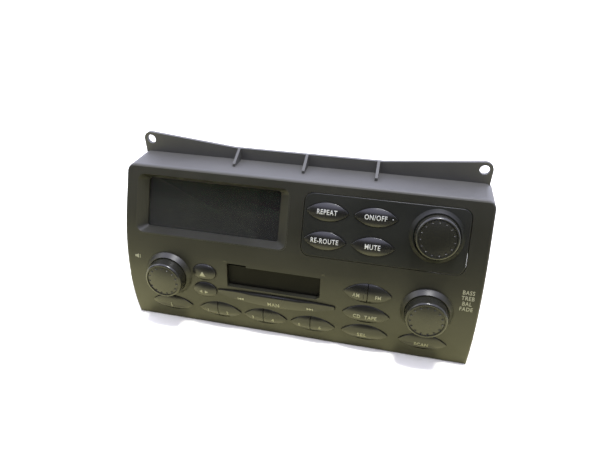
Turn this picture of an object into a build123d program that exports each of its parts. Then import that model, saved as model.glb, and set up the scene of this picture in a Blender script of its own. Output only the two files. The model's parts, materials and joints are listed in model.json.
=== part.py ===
from build123d import *
import os
from math import asin, cos, radians, sin

# Car radio with a cassette deck, a route display and its own control panel.
# X runs to the viewer's right, Y to the back and Z up. The origin lies on the base plane,
# under the rear face of the mounting flange. Lengths are in millimetres, angles in degrees.

# ---------------------------------------------------------------- driving dimensions
HALF_WIDTH = 123.5         # half the width of the fascia
SHELF_Z = 118.0            # height of the shelf on top of the fascia
SHELF_DEPTH = 24.0         # from the top edge of the face back to the flange
FLANGE_THICKNESS = 2.5
WALL = 2.5                 # moulded walls
TOP_TILT = -22.2           # lean of the flat upper stretch of the face
FLAT_LENGTH = 31.6         # length of that stretch, before the face starts to curve
FACE_RADIUS = 146.0        # curve of the rest of the face
TOP_CORNER_RADIUS = 6.0
RIM_RADIUS = 1.6           # rounding round the face

FLANGE_HEIGHT = 8.4        # flange above the shelf, in the middle
FLANGE_FLAT = 52.0         # half of the stretch at that height
SCREW_X = 116.0            # flange screw holes, each side of the middle
SCREW_RISE = 9.2           # their height above the shelf
SCREW_HOLE_RADIUS = 3.2
EAR_RADIUS = 5.4
GUSSET_PITCH = 48.8
GUSSET_REACH = 13.0
GUSSET_NOSE = 2.0
GUSSET_THICKNESS = 1.8

FIT_GAP = 0.3              # between a button and its hole
SEAM = 0.35                # round the navigation panel

DISPLAY_LEFT, DISPLAY_RIGHT = -115.0, -5.0       # bevelled mouth at the face
DISPLAY_TOP, DISPLAY_BOTTOM = 6.5, 48.3          # distances down the face
WINDOW_LEFT, WINDOW_RIGHT = -110.0, -13.0        # clear window at the foot of the bevel
WINDOW_TOP, WINDOW_BOTTOM = 8.9, 44.0
WINDOW_DEPTH = 7.6

PANEL_LEFT, PANEL_RIGHT = 5.0, 110.4             # navigation panel
PANEL_TOP, PANEL_BOTTOM = 6.8, 49.0

SLOT_LEFT, SLOT_RIGHT = -46.8, 19.8              # cassette slot
SLOT_TOP, SLOT_BOTTOM = 64.4, 81.4
NOTCH_WIDTH, NOTCH_HEIGHT = 14.0, 1.5            # step up at the slot's left end
SLOT_CHAMFER = 2.4                               # cut lower right corner

KNOB_RADIUS, KNOB_FACE_RADIUS = 14.1, 12.7        # at the foot and round the face
KNOB_HEIGHT = 11.3
COLLAR_BASE, COLLAR_TOP, COLLAR_HEIGHT = 17.2, 15.0, 3.2
KNOB_HOLE_RADIUS = 14.5
PIT_RING, PIT_RADIUS, PIT_COUNT = 10.3, 0.55, 15
SHAFT_RADIUS = 3.0

BUTTON_TRAVEL = 1.2
BUTTON_CROWN = 2.0         # top of a button above the face
BUTTON_DEPTH = 6.5
NAV_BUTTON = (28.4, 12.3)
RADIO_BUTTON = (32.4, 14.4)
OVAL_BUTTON = (17.2, 12.8)
SEEK_WIDTH, SEEK_RISE, SEEK_DROP = 84.4, 2.6, 7.4
SEEK_END = 1.2             # half the height of its blunt ends
PRESET_SPLIT = -1.5        # dividing line of a preset pair, from its middle
SPLIT_GAP = 0.5
RIM_SOFTENING = 0.35       # rounding of a button's rim

CHASSIS_HALF_WIDTH = 90.0
CHASSIS_HEIGHT = 62.0
CHASSIS_FRONT, CHASSIS_BACK = -24.0, 118.0
SHEET = 1.0                # sheet metal of the chassis

BOARD = 1.6                # thickness of the circuit boards
UPPER_BOARD_DEPTH = 14.0   # behind the upper face
CONTROL_BOARD_Y = -34.0    # front of the lower board
DOME_Y = -38.0             # tips of the rubber domes on it
MAIN_BOARD_Z = 5.0

DECK_Z = 27.8              # underside of the deck plate
DECK_PLATE = 1.2
CASSETTE_X = (SLOT_LEFT + SLOT_RIGHT) / 2
DECK_Y = 30.0              # middle of a cassette that is all the way in
HUB_X, HUB_PITCH = -15.7, 42.5
CAPSTAN_X, CAPSTAN_PITCH = 11.3, 67.0
FLYWHEEL_RADIUS, FLYWHEEL_Z = 17.0, 18.0
FLYWHEEL_HEIGHT = 5.0
MOTOR_X, MOTOR_RADIUS, PULLEY_RADIUS = 48.0, 12.0, 4.0
HEAD_TRAVEL = 7.0
CRADLE_Z = 40.0            # floor of the cradle when it is up
CRADLE_TRAVEL = 8.5

# ---------------------------------------------------------------- the face as a surface
FACE_TOP_Y = -FLANGE_THICKNESS - SHELF_DEPTH
TOP_ANGLE = radians(TOP_TILT)
BEND_Y = FACE_TOP_Y + FLAT_LENGTH * sin(TOP_ANGLE)
BEND_Z = SHELF_Z - FLAT_LENGTH * cos(TOP_ANGLE)
ARC_Y = BEND_Y + FACE_RADIUS * cos(TOP_ANGLE)
ARC_Z = BEND_Z + FACE_RADIUS * sin(TOP_ANGLE)


def face_tilt(down):
    """Lean of the face in radians, a distance down it from its top edge."""
    return TOP_ANGLE + max(0.0, down - FLAT_LENGTH) / FACE_RADIUS


def face_point(down, depth=0.0):
    """Y and Z of a point on the face, or behind it by depth."""
    tilt = face_tilt(down)
    y = FACE_TOP_Y + min(down, FLAT_LENGTH) * sin(TOP_ANGLE)
    z = SHELF_Z - min(down, FLAT_LENGTH) * cos(TOP_ANGLE)
    y += FACE_RADIUS * (cos(TOP_ANGLE) - cos(tilt)) + depth * cos(tilt)
    z += FACE_RADIUS * (sin(TOP_ANGLE) - sin(tilt)) + depth * sin(tilt)
    return y, z


def down_at(z, depth=0.0):
    """Distance down the face at which the surface behind it by depth is at height z."""
    on_flat = (SHELF_Z - z + depth * sin(TOP_ANGLE)) / cos(TOP_ANGLE)
    if on_flat <= FLAT_LENGTH:
        return on_flat
    tilt = asin((ARC_Z - z) / (FACE_RADIUS - depth))
    return FLAT_LENGTH + FACE_RADIUS * (tilt - TOP_ANGLE)


def face_plane(x, down, depth=0.0):
    """Plane on the face, or behind it by depth, with its normal pointing out."""
    tilt = face_tilt(down)
    y, z = face_point(down, depth)
    return Plane(origin=(x, y, z), x_dir=(1, 0, 0), z_dir=(0, -cos(tilt), -sin(tilt)))


def section_plane(x, down):
    """Plane through a point of the face that holds X and the face's normal."""
    on_face = face_plane(x, down)
    return Plane(origin=on_face.origin, x_dir=(1, 0, 0), z_dir=-on_face.y_dir)


FLAT_MIDDLE = FLAT_LENGTH / 2


def casing_profile(depth, low_z, high_z, back_y):
    """Side view of the room behind the face, from depth behind it back to back_y."""
    first, last = down_at(high_z, depth), down_at(low_z, depth)
    bend = face_point(FLAT_LENGTH, depth)
    with BuildSketch(Plane.YZ) as profile:
        with BuildLine():
            Line(face_point(first, depth), bend)
            ThreePointArc(bend, face_point((FLAT_LENGTH + last) / 2, depth), face_point(last, depth))
            Polyline(face_point(last, depth), (back_y, low_z), (back_y, high_z), face_point(first, depth))
        make_face()
    return profile.sketch


# ---------------------------------------------------------------- outlines on the face
def lens(plane, width, height, grow=0.0, corner=0.9):
    """Pointed oval."""
    half_w, half_h = width / 2 + grow, height / 2 + grow
    with BuildSketch(plane) as outline:
        with BuildLine():
            ThreePointArc((-half_w, 0), (0, half_h), (half_w, 0))
            ThreePointArc((half_w, 0), (0, -half_h), (-half_w, 0))
        make_face()
        fillet(outline.vertices(), corner)
    return outline.sketch


def oval(plane, width, height, grow=0.0):
    """Plain oval."""
    with BuildSketch(plane) as outline:
        Ellipse(width / 2 + grow, height / 2 + grow)
    return outline.sketch


def seek_outline(plane, grow=0.0):
    """Long bow with blunt ends, flatter above than below."""
    half_w, end = SEEK_WIDTH / 2 + grow, SEEK_END + grow
    with BuildSketch(plane) as outline:
        with BuildLine():
            ThreePointArc((-half_w, end), (0, SEEK_RISE + grow), (half_w, end))
            Line((half_w, end), (half_w, -end))
            ThreePointArc((half_w, -end), (0, -SEEK_DROP - grow), (-half_w, -end))
            Line((-half_w, -end), (-half_w, end))
        make_face()
        fillet(outline.vertices(), SEEK_END * 0.75)
    return outline.sketch


def slot_outline(plane, inset=0.0, lift=0.0):
    """Cassette slot with its cut corner, or the smaller front of its door, whose foot is lifted."""
    left, right = SLOT_LEFT + inset, SLOT_RIGHT - inset
    low, high = slot_bottom_z + inset + lift, slot_top_z - inset
    with BuildSketch(plane) as outline:
        with BuildLine():
            Polyline((left, low), (right - SLOT_CHAMFER, low), (right, low + SLOT_CHAMFER), (right, high),
                     (left, high), (left, low))
        make_face()
        fillet(outline.vertices(), 0.6)
    return outline.sketch


def rounded(plane, width, height, corner):
    """Rectangle with round corners."""
    with BuildSketch(plane) as outline:
        RectangleRounded(width, height, corner)
    return outline.sketch


def disc(plane, radius):
    """Round outline."""
    with BuildSketch(plane) as outline:
        Circle(radius)
    return outline.sketch


def panel_outline(left, right, top, bottom, depth, corner, grow=0.0):
    """Rounded window on the flat of the upper face, given by its edges."""
    middle = face_plane((left + right) / 2, FLAT_MIDDLE, depth)
    shift = FLAT_MIDDLE - (top + bottom) / 2
    plane = Plane(origin=middle.from_local_coords((0, shift, 0)), x_dir=middle.x_dir, z_dir=middle.z_dir)
    return rounded(plane, right - left + 2 * grow, bottom - top + 2 * grow, corner + grow)


# ---------------------------------------------------------------- where the controls are
ROW_1, ROW_2 = 18.4, 37.5                  # navigation buttons
NAV_COLUMNS = (20.6, 52.0)
KEY_COLUMN = 52.0
KEY_ROWS = (70.6, 87.5, 104.4)
PRESET_X = (-53.8, -19.3, 15.2)
OUTER_KEY_X = 91.6
KNOB_X, KNOB_DOWN = 91.0, 77.9
NAV_KNOB_X, NAV_KNOB_DOWN = 90.7, 25.7
OVAL_X, EJECT_DOWN, DIRECTION_DOWN = -63.6, 72.4, 87.0
SEEK_X, SEEK_MIDDLE = -11.6, 86.2

NAV_KEYS = {
    "repeat_button": (NAV_COLUMNS[0], ROW_1),
    "power_button": (NAV_COLUMNS[1], ROW_1),
    "reroute_button": (NAV_COLUMNS[0], ROW_2),
    "mute_button": (NAV_COLUMNS[1], ROW_2),
}
RADIO_KEYS = {
    "information_button": (-OUTER_KEY_X, KEY_ROWS[2]),
    "source_button": (KEY_COLUMN, KEY_ROWS[1]),
    "select_button": (KEY_COLUMN, KEY_ROWS[2]),
    "scan_button": (OUTER_KEY_X, KEY_ROWS[2]),
}
# Each pair shares one hole: middle of the pair, dividing line, names of its halves.
PAIRS = [(x, KEY_ROWS[2], PRESET_SPLIT, f"preset_button_{2 * i + 1}", f"preset_button_{2 * i + 2}")
         for i, x in enumerate(PRESET_X)]
PAIRS.append((KEY_COLUMN, KEY_ROWS[0], 0.0, "am_button", "fm_button"))
OVAL_KEYS = {"eject_button": (OVAL_X, EJECT_DOWN), "direction_button": (OVAL_X, DIRECTION_DOWN)}
KNOBS = {
    "volume": (-KNOB_X, KNOB_DOWN),
    "navigation": (NAV_KNOB_X, NAV_KNOB_DOWN),
    "tone": (KNOB_X, KNOB_DOWN),
}

COVER_POSTS = [(x, z) for x in (-118.3, 118.3) for z in (72.0, 108.0)]
CHASSIS_POSTS = [(x, z) for x in (-114.0, 114.0) for z in (16.0, 44.0)]
COVER_Y = -5.5
TAB_Y = -23.0
POST_RADIUS = 3.0
SCREW_RADIUS, SCREW_HEAD_RADIUS, SCREW_HEAD, SCREW_LENGTH = 1.5, 2.4, 2.0, 8.0
SCREW_GAP = 0.08           # round a screw's shank

os.makedirs("parts", exist_ok=True)


def save(part, name):
    """Label a finished piece and write it."""
    part.label = name
    export_step(part, f"parts/{name}.step")


def add_collar(x, down):
    """Raised cone round a knob, closed: its hole is cut afterwards."""
    with BuildPart() as collar:
        with BuildSketch(section_plane(x, down)):
            with BuildLine():
                Polyline((0, -WALL), (COLLAR_BASE, -WALL), (COLLAR_BASE, 0), (COLLAR_TOP, COLLAR_HEIGHT),
                         (0, COLLAR_HEIGHT), (0, -WALL))
            make_face()
        normal = face_plane(x, down)
        revolve(axis=Axis(normal.origin, normal.z_dir))
    return collar.part


# ---------------------------------------------------------------- fascia
slot_top_z = face_point(SLOT_TOP)[1]
slot_bottom_z = face_point(SLOT_BOTTOM)[1]
SLOT_HEIGHT = slot_top_z - slot_bottom_z
SLOT_Z = (slot_top_z + slot_bottom_z) / 2
SLOT_WIDTH = SLOT_RIGHT - SLOT_LEFT
SLOT_FACE_Y = face_point((SLOT_TOP + SLOT_BOTTOM) / 2)[0]
DOOR_RECESS = 4.6
DOOR_THICKNESS = 1.4
DOOR_Y = SLOT_FACE_Y + DOOR_RECESS         # front of the closed door's plate
DOOR_STEP = 2.0                            # its thicker part fills the slot this much further out
DOOR_GAP = 0.35
PIN_RADIUS, PIN_GAP = 1.0, 0.08
PIN_Y, PIN_Z = DOOR_Y + 2.4, slot_top_z + 0.6
LUG_THICKNESS = 2.0

# The seek bar rocks on an upright pin behind its middle, held by a lug at each end of the pin.
PIVOT_DEPTH, PIVOT_RADIUS, PIVOT_GAP = 5.0, 1.2, 0.08
SEEK_PIN = (-9.9, 4.4)                     # ends of the pin, above the bar's middle
SEEK_LUGS = ((-10.1, -8.4), (3.4, 4.6))
seek_face = face_plane(SEEK_X, SEEK_MIDDLE)


def pivot_plane(rise):
    """Plane across the seek bar's pin, at a height above the bar's middle."""
    centre = seek_face.from_local_coords((0, rise, -PIVOT_DEPTH))
    return Plane(origin=centre, x_dir=(1, 0, 0), z_dir=seek_face.y_dir)


with BuildPart() as front_fascia:
    extrude(casing_profile(0, 0, SHELF_Z, 0), amount=HALF_WIDTH, both=True)
    fillet(front_fascia.edges().filter_by(Axis.Y).group_by(Axis.Z)[-1], TOP_CORNER_RADIUS)
    face_edges = front_fascia.edges().filter_by(lambda e: e.center().Y < FACE_TOP_Y + 0.5)
    bend_edge = face_edges.filter_by(Axis.X).filter_by_position(Axis.Z, 1, SHELF_Z - 1)
    fillet(face_edges - bend_edge, RIM_RADIUS)
    extrude(casing_profile(WALL, WALL, SHELF_Z - WALL, 0), amount=HALF_WIDTH - WALL, both=True,
            mode=Mode.SUBTRACT)
    # The floor stops in front of the chassis.
    with BuildSketch(Plane.XY) as floor_cut:
        with Locations((0, CHASSIS_FRONT / 2 - 2)):
            Rectangle(2 * (HALF_WIDTH - WALL), -CHASSIS_FRONT + 4)
    extrude(amount=WALL, mode=Mode.SUBTRACT)

    # Mounting flange: a low middle that rises to a round ear at each end.
    with BuildSketch(Plane.XZ) as flange:
        ear_z = SHELF_Z + SCREW_RISE
        with BuildLine():
            Polyline((0, SHELF_Z - WALL), (HALF_WIDTH - WALL, SHELF_Z - WALL), (SCREW_X + EAR_RADIUS, ear_z),
                     (SCREW_X, ear_z + EAR_RADIUS), (FLANGE_FLAT, SHELF_Z + FLANGE_HEIGHT),
                     (0, SHELF_Z + FLANGE_HEIGHT), (0, SHELF_Z - WALL))
        make_face()
        with Locations((SCREW_X, ear_z)):
            Circle(EAR_RADIUS)
        mirror(about=Plane.YZ)
        with Locations((-SCREW_X, ear_z), (SCREW_X, ear_z)):
            Circle(SCREW_HOLE_RADIUS, mode=Mode.SUBTRACT)
    extrude(amount=FLANGE_THICKNESS)

    # Gussets between the flange and the shelf.
    for x in (-GUSSET_PITCH, 0, GUSSET_PITCH):
        with BuildSketch(Plane.YZ.offset(x)):
            with BuildLine():
                foot = -FLANGE_THICKNESS - GUSSET_REACH
                Polyline((-1, SHELF_Z - 1), (foot, SHELF_Z - 1), (foot, SHELF_Z + GUSSET_NOSE),
                         (-FLANGE_THICKNESS, SHELF_Z + FLANGE_HEIGHT), (-1, SHELF_Z + FLANGE_HEIGHT),
                         (-1, SHELF_Z - 1))
            make_face()
        extrude(amount=GUSSET_THICKNESS / 2, both=True)

    # Posts that the rear cover and the chassis are screwed to.
    for posts, back_y in ((COVER_POSTS, COVER_Y), (CHASSIS_POSTS, TAB_Y)):
        for x, z in posts:
            front_y = face_point(down_at(z))[0] + WALL / 2
            with BuildSketch(Plane.XZ.offset(-back_y)):
                with Locations((x, z)):
                    Circle(POST_RADIUS)
            extrude(amount=back_y - front_y)

    # Collars of the two lower knobs.
    for name in ("volume", "tone"):
        add(add_collar(*KNOBS[name]))
        extrude(disc(face_plane(*KNOBS[name], WALL + 2), KNOB_HOLE_RADIUS), amount=COLLAR_HEIGHT + WALL + 4,
                mode=Mode.SUBTRACT)

    # Short sleeve behind the cassette slot, up to its door.
    with BuildSketch(Plane.XZ.offset(0.3 - DOOR_Y)):
        with Locations((CASSETTE_X, SLOT_Z)):
            Rectangle(SLOT_WIDTH + 3, SLOT_HEIGHT + 3)
    extrude(amount=DOOR_RECESS - 1.8)

    # Openings.
    extrude(panel_outline(DISPLAY_LEFT, DISPLAY_RIGHT, DISPLAY_TOP, DISPLAY_BOTTOM, 8, 5.0, 0.05), amount=16,
            mode=Mode.SUBTRACT)
    extrude(panel_outline(PANEL_LEFT, PANEL_RIGHT, PANEL_TOP, PANEL_BOTTOM, 8, 6.0, SEAM), amount=16,
            mode=Mode.SUBTRACT)
    for x, down in RADIO_KEYS.values():
        extrude(lens(face_plane(x, down, 4), *RADIO_BUTTON, FIT_GAP), amount=8, mode=Mode.SUBTRACT)
    for x, down, split, left, right in PAIRS:
        extrude(lens(face_plane(x, down, 4), *RADIO_BUTTON, FIT_GAP), amount=8, mode=Mode.SUBTRACT)
    for x, down in OVAL_KEYS.values():
        extrude(oval(face_plane(x, down, 4), *OVAL_BUTTON, FIT_GAP), amount=8, mode=Mode.SUBTRACT)
    extrude(seek_outline(face_plane(SEEK_X, SEEK_MIDDLE, 4), 0.5), amount=8, mode=Mode.SUBTRACT)
    extrude(slot_outline(Plane.XZ.offset(40)), amount=12, mode=Mode.SUBTRACT)
    with BuildSketch(Plane.XZ.offset(40)):
        with Locations((SLOT_LEFT + NOTCH_WIDTH / 2, slot_top_z)):
            Rectangle(NOTCH_WIDTH, 2 * NOTCH_HEIGHT)
    extrude(amount=12, mode=Mode.SUBTRACT)

    # Two lugs behind the slot carry the stub pins of its door.
    for x, side in ((SLOT_LEFT - 0.6, -1), (SLOT_RIGHT + 0.6, 1)):
        with BuildSketch(Plane.YZ.offset(x)):
            with BuildLine():
                Polyline((SLOT_FACE_Y + 1.5, PIN_Z - 3), (PIN_Y + 2.4, PIN_Z - 3), (PIN_Y + 2.4, PIN_Z + 3),
                         (SLOT_FACE_Y + 1.5, PIN_Z + 3), (SLOT_FACE_Y + 1.5, PIN_Z - 3))
            make_face()
            with Locations((PIN_Y, PIN_Z)):
                Circle(PIN_RADIUS + PIN_GAP, mode=Mode.SUBTRACT)
        extrude(amount=side * LUG_THICKNESS)

    # Two lugs hold the seek bar's pin.
    for low, high in SEEK_LUGS:
        with BuildSketch(pivot_plane(low)):
            with Locations((0, -0.2)):
                Rectangle(4.4, 5.2)
        extrude(amount=high - low)
    with BuildSketch(pivot_plane(SEEK_LUGS[0][0] - 0.1)):
        Circle(PIVOT_RADIUS + PIVOT_GAP)
    extrude(amount=SEEK_LUGS[1][1] - SEEK_LUGS[0][0] + 0.2, mode=Mode.SUBTRACT)

    # Pilot holes in the posts.
    for posts, back_y in ((COVER_POSTS, COVER_Y), (CHASSIS_POSTS, TAB_Y)):
        with BuildSketch(Plane.XZ.offset(-back_y)):
            with Locations(*posts):
                Circle(SCREW_RADIUS + SCREW_GAP)
        extrude(amount=SCREW_LENGTH, mode=Mode.SUBTRACT)
save(front_fascia.part, "front_fascia")

# ---------------------------------------------------------------- display
bevel_depth = WINDOW_DEPTH
with BuildPart() as display_bezel:
    extrude(casing_profile(0, 0, SHELF_Z, 0), amount=HALF_WIDTH, both=True)
    extrude(panel_outline(DISPLAY_LEFT, DISPLAY_RIGHT, DISPLAY_TOP, DISPLAY_BOTTOM, bevel_depth + 1.6, 5.0),
            amount=14, mode=Mode.INTERSECT)
    mouth = panel_outline(DISPLAY_LEFT, DISPLAY_RIGHT, DISPLAY_TOP, DISPLAY_BOTTOM, -1.0, 5.0, 0.45)
    foot = panel_outline(WINDOW_LEFT, WINDOW_RIGHT, WINDOW_TOP, WINDOW_BOTTOM, bevel_depth, 2.0)
    loft([mouth.face(), foot.face()], mode=Mode.SUBTRACT)
    extrude(panel_outline(WINDOW_LEFT, WINDOW_RIGHT, WINDOW_TOP, WINDOW_BOTTOM, bevel_depth + 4, 2.0), amount=5,
            mode=Mode.SUBTRACT)
save(display_bezel.part, "display_bezel")

WINDOW_THICKNESS = 1.6
with BuildPart() as display_window:
    back = bevel_depth + 1.6 + WINDOW_THICKNESS
    extrude(panel_outline(DISPLAY_LEFT, DISPLAY_RIGHT, DISPLAY_TOP, DISPLAY_BOTTOM, back, 3.0, -1.5),
            amount=WINDOW_THICKNESS)
save(display_window.part, "display_window")

with BuildPart() as display_panel:
    extrude(panel_outline(WINDOW_LEFT, WINDOW_RIGHT, WINDOW_TOP, WINDOW_BOTTOM, UPPER_BOARD_DEPTH, 0.8, 2.0),
            amount=UPPER_BOARD_DEPTH - back)
save(display_panel.part, "display_panel")

with BuildPart() as upper_board:
    extrude(panel_outline(-112, 112, 5, 48, UPPER_BOARD_DEPTH + BOARD, 2.0), amount=BOARD)
save(upper_board.part, "upper_board")

# ---------------------------------------------------------------- navigation panel
with BuildPart() as navigation_panel:
    extrude(casing_profile(0, 0, SHELF_Z, 0), amount=HALF_WIDTH, both=True)
    extrude(panel_outline(PANEL_LEFT, PANEL_RIGHT, PANEL_TOP, PANEL_BOTTOM, 8, 6.0), amount=16,
            mode=Mode.INTERSECT)
    fronts = navigation_panel.faces().filter_by(lambda f: f.normal_at().Y < -0.9)
    bend_edge = navigation_panel.edges().filter_by(Axis.X).filter_by_position(Axis.Z, BEND_Z - 0.1, BEND_Z + 0.1)
    fillet(fronts.edges() - bend_edge, 0.45)
    extrude(casing_profile(WALL, 0, SHELF_Z, 0), amount=HALF_WIDTH, both=True, mode=Mode.SUBTRACT)
    add(add_collar(*KNOBS["navigation"]))
    extrude(disc(face_plane(*KNOBS["navigation"], WALL + 2), KNOB_HOLE_RADIUS), amount=COLLAR_HEIGHT + WALL + 4,
            mode=Mode.SUBTRACT)
    for x, down in NAV_KEYS.values():
        extrude(lens(face_plane(x, down, 4), *NAV_BUTTON, FIT_GAP), amount=8, mode=Mode.SUBTRACT)
save(navigation_panel.part, "navigation_panel")


# ---------------------------------------------------------------- buttons
FLANGE = 1.2                               # plate round the foot of a button
FLANGE_START = 3.2 + FLANGE


def pillow(x, down, outline, flange, length, width, crown=BUTTON_CROWN, across=12.0):
    """Button in its hole: a crowned cap on a plate that holds it in, with a post behind.

    Across is the radius of the crown over the button's height.
    """
    end_drop = 1.6
    on_face = face_plane(x, down)
    with BuildPart() as button:
        extrude(outline, amount=BUTTON_DEPTH + crown + 1)
        # The crown curves both along and across the cap.
        with BuildSketch(section_plane(x, down)):
            with BuildLine():
                ThreePointArc((-width / 2 - 1, crown - end_drop), (0, crown), (width / 2 + 1, crown - end_drop))
                Polyline((width / 2 + 1, crown - end_drop), (width / 2 + 1, crown - across),
                         (-width / 2 - 1, crown - across), (-width / 2 - 1, crown - end_drop))
            make_face()
        axis_point = on_face.from_local_coords((0, 0, crown - across))
        revolve(axis=Axis(axis_point, on_face.x_dir), mode=Mode.INTERSECT)
        fillet(button.faces().sort_by(Axis(on_face.origin, on_face.z_dir))[-1].edges(), RIM_SOFTENING)
        extrude(flange, amount=FLANGE)
        extrude(disc(face_plane(x, down, BUTTON_DEPTH + length), 2.2), amount=length + 1)
    return button.part


def post_length(down, dome_gap=BUTTON_TRAVEL + 0.4):
    """Length of the post behind a lower button, which stops short of its rubber dome."""
    y, _ = face_point(down, BUTTON_DEPTH)
    return (DOME_Y - dome_gap - y) / cos(face_tilt(down)) - 0.6


NAV_POST = 2.4
for name, (x, down) in NAV_KEYS.items():
    cap = lens(face_plane(x, down, BUTTON_DEPTH), *NAV_BUTTON)
    skirt = lens(face_plane(x, down, FLANGE_START), *NAV_BUTTON, 0.9)
    save(pillow(x, down, cap, skirt, NAV_POST, NAV_BUTTON[0]), name)

for name, (x, down) in RADIO_KEYS.items():
    cap = lens(face_plane(x, down, BUTTON_DEPTH), *RADIO_BUTTON)
    skirt = lens(face_plane(x, down, FLANGE_START), *RADIO_BUTTON, 0.8)
    save(pillow(x, down, cap, skirt, post_length(down), RADIO_BUTTON[0]), name)

for name, (x, down) in OVAL_KEYS.items():
    cap = oval(face_plane(x, down, BUTTON_DEPTH), *OVAL_BUTTON)
    skirt = oval(face_plane(x, down, FLANGE_START), *OVAL_BUTTON, 0.6)
    save(pillow(x, down, cap, skirt, post_length(down), OVAL_BUTTON[0], 2.4, 10.0), name)

for x, down, split, left_name, right_name in PAIRS:
    for side, name in ((-1, left_name), (1, right_name)):
        cap = lens(face_plane(x, down, BUTTON_DEPTH), *RADIO_BUTTON)
        skirt = lens(face_plane(x, down, FLANGE_START), *RADIO_BUTTON, 0.8)
        with BuildPart() as half_button:
            add(pillow(x, down, cap, skirt, 0.5, RADIO_BUTTON[0]))
            # Keep one side of the dividing line, then give the half its own post.
            with BuildSketch(face_plane(x, down, 20)):
                with Locations((split + side * (20 + SPLIT_GAP / 2), 0)):
                    Rectangle(40, 40)
            extrude(amount=40, mode=Mode.INTERSECT)
            extrude(disc(face_plane(x + side * 8, down, BUTTON_DEPTH + post_length(down)), 2.2),
                    amount=post_length(down) + 1)
        save(half_button.part, name)

SEEK_CROWN, SEEK_SHIN = 2.1, 0.5           # height of its ridge, and of its lower edge
SEEK_POST_X = 24.0
with BuildPart() as seek_bar:
    extrude(seek_outline(face_plane(SEEK_X, SEEK_MIDDLE, PIVOT_DEPTH)), amount=10)
    # Ridge near the upper edge that slopes down to the lower one.
    with BuildSketch(Plane(origin=seek_face.origin, x_dir=seek_face.y_dir, z_dir=seek_face.x_dir)):
        with BuildLine():
            top, low = SEEK_RISE + 0.5, -SEEK_DROP - 0.5
            ThreePointArc((top, -0.5), (top - 0.7, SEEK_CROWN - 0.6), (top - 2.2, SEEK_CROWN))
            ThreePointArc((top - 2.2, SEEK_CROWN), (-3.5, SEEK_CROWN - 0.45), (low, SEEK_SHIN))
            Polyline((low, SEEK_SHIN), (low, -PIVOT_DEPTH - 1), (top, -PIVOT_DEPTH - 1), (top, -0.5))
        make_face()
    extrude(amount=SEEK_WIDTH, both=True, mode=Mode.INTERSECT)
    # It thins out towards its ends.
    with BuildSketch(section_plane(SEEK_X, SEEK_MIDDLE)):
        half = SEEK_WIDTH / 2 + 1
        with BuildLine():
            ThreePointArc((-half, 0.9), (0, SEEK_CROWN + 0.2), (half, 0.9))
            Polyline((half, 0.9), (half, -PIVOT_DEPTH - 1), (-half, -PIVOT_DEPTH - 1), (-half, 0.9))
        make_face()
    extrude(amount=20, both=True, mode=Mode.INTERSECT)
    with BuildSketch(pivot_plane(SEEK_PIN[0])):
        Circle(PIVOT_RADIUS)
    extrude(amount=SEEK_PIN[1] - SEEK_PIN[0])
    # Two posts behind the ends reach towards the rubber domes.
    for x in (SEEK_X - SEEK_POST_X, SEEK_X + SEEK_POST_X):
        reach = post_length(SEEK_MIDDLE) + BUTTON_DEPTH - PIVOT_DEPTH
        extrude(disc(face_plane(x, SEEK_MIDDLE, PIVOT_DEPTH + reach), 2.0), amount=reach + 1)
save(seek_bar.part, "seek_bar")

# ---------------------------------------------------------------- rubber mats and boards
with BuildPart() as navigation_key_mat:
    extrude(panel_outline(4, 72, 7, 47, UPPER_BOARD_DEPTH, 1.0), amount=1.0)
    for x, down in NAV_KEYS.values():
        tip_depth = BUTTON_DEPTH + NAV_POST + BUTTON_TRAVEL + 0.6
        extrude(disc(face_plane(x, down, tip_depth), 3.0), amount=-(UPPER_BOARD_DEPTH - tip_depth - 0.4))
save(navigation_key_mat.part, "navigation_key_mat")

THROAT_LEFT, THROAT_RIGHT = SLOT_LEFT - 4, SLOT_RIGHT + 4
THROAT_BOTTOM, THROAT_TOP = slot_bottom_z - 1.0, PIN_Z + 4
BOARD_HALF_WIDTH, BOARD_BOTTOM, BOARD_TOP = 108.0, 4.0, 66.0
lower_keys = list(RADIO_KEYS.values()) + list(OVAL_KEYS.values())
lower_keys += [(x + side * 8, down) for x, down, *_ in PAIRS for side in (-1, 1)]
lower_keys += [(SEEK_X + side * SEEK_POST_X, SEEK_MIDDLE) for side in (-1, 1)]

with BuildPart() as control_board:
    with BuildSketch(Plane.XZ.offset(-CONTROL_BOARD_Y - BOARD)):
        with Locations((0, (BOARD_TOP + BOARD_BOTTOM) / 2)):
            Rectangle(2 * BOARD_HALF_WIDTH, BOARD_TOP - BOARD_BOTTOM)
        with Locations(((THROAT_LEFT + THROAT_RIGHT) / 2, (THROAT_BOTTOM + THROAT_TOP) / 2)):
            Rectangle(THROAT_RIGHT - THROAT_LEFT, THROAT_TOP - THROAT_BOTTOM, mode=Mode.SUBTRACT)
    extrude(amount=BOARD)
save(control_board.part, "control_board")

with BuildPart() as control_key_mat:
    with BuildSketch(Plane.XZ.offset(-CONTROL_BOARD_Y)):
        with Locations((-7, 19)):
            Rectangle(200, 27)
        with Locations((54, 44)):
            Rectangle(34, 38)
        with Locations((-63, 38)):
            Rectangle(20, 24)
        with Locations(((THROAT_LEFT + THROAT_RIGHT) / 2, (THROAT_BOTTOM + THROAT_TOP) / 2)):
            Rectangle(THROAT_RIGHT - THROAT_LEFT, THROAT_TOP - THROAT_BOTTOM, mode=Mode.SUBTRACT)
    extrude(amount=1.2)
    for x, down in lower_keys:
        _, z = face_point(down, BUTTON_DEPTH + 3)
        with BuildSketch(Plane.XZ.offset(-CONTROL_BOARD_Y + 0.6)):
            with Locations((x, z)):
                Circle(2.8)
        extrude(amount=CONTROL_BOARD_Y - DOME_Y - 0.6)
save(control_key_mat.part, "control_key_mat")

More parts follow.
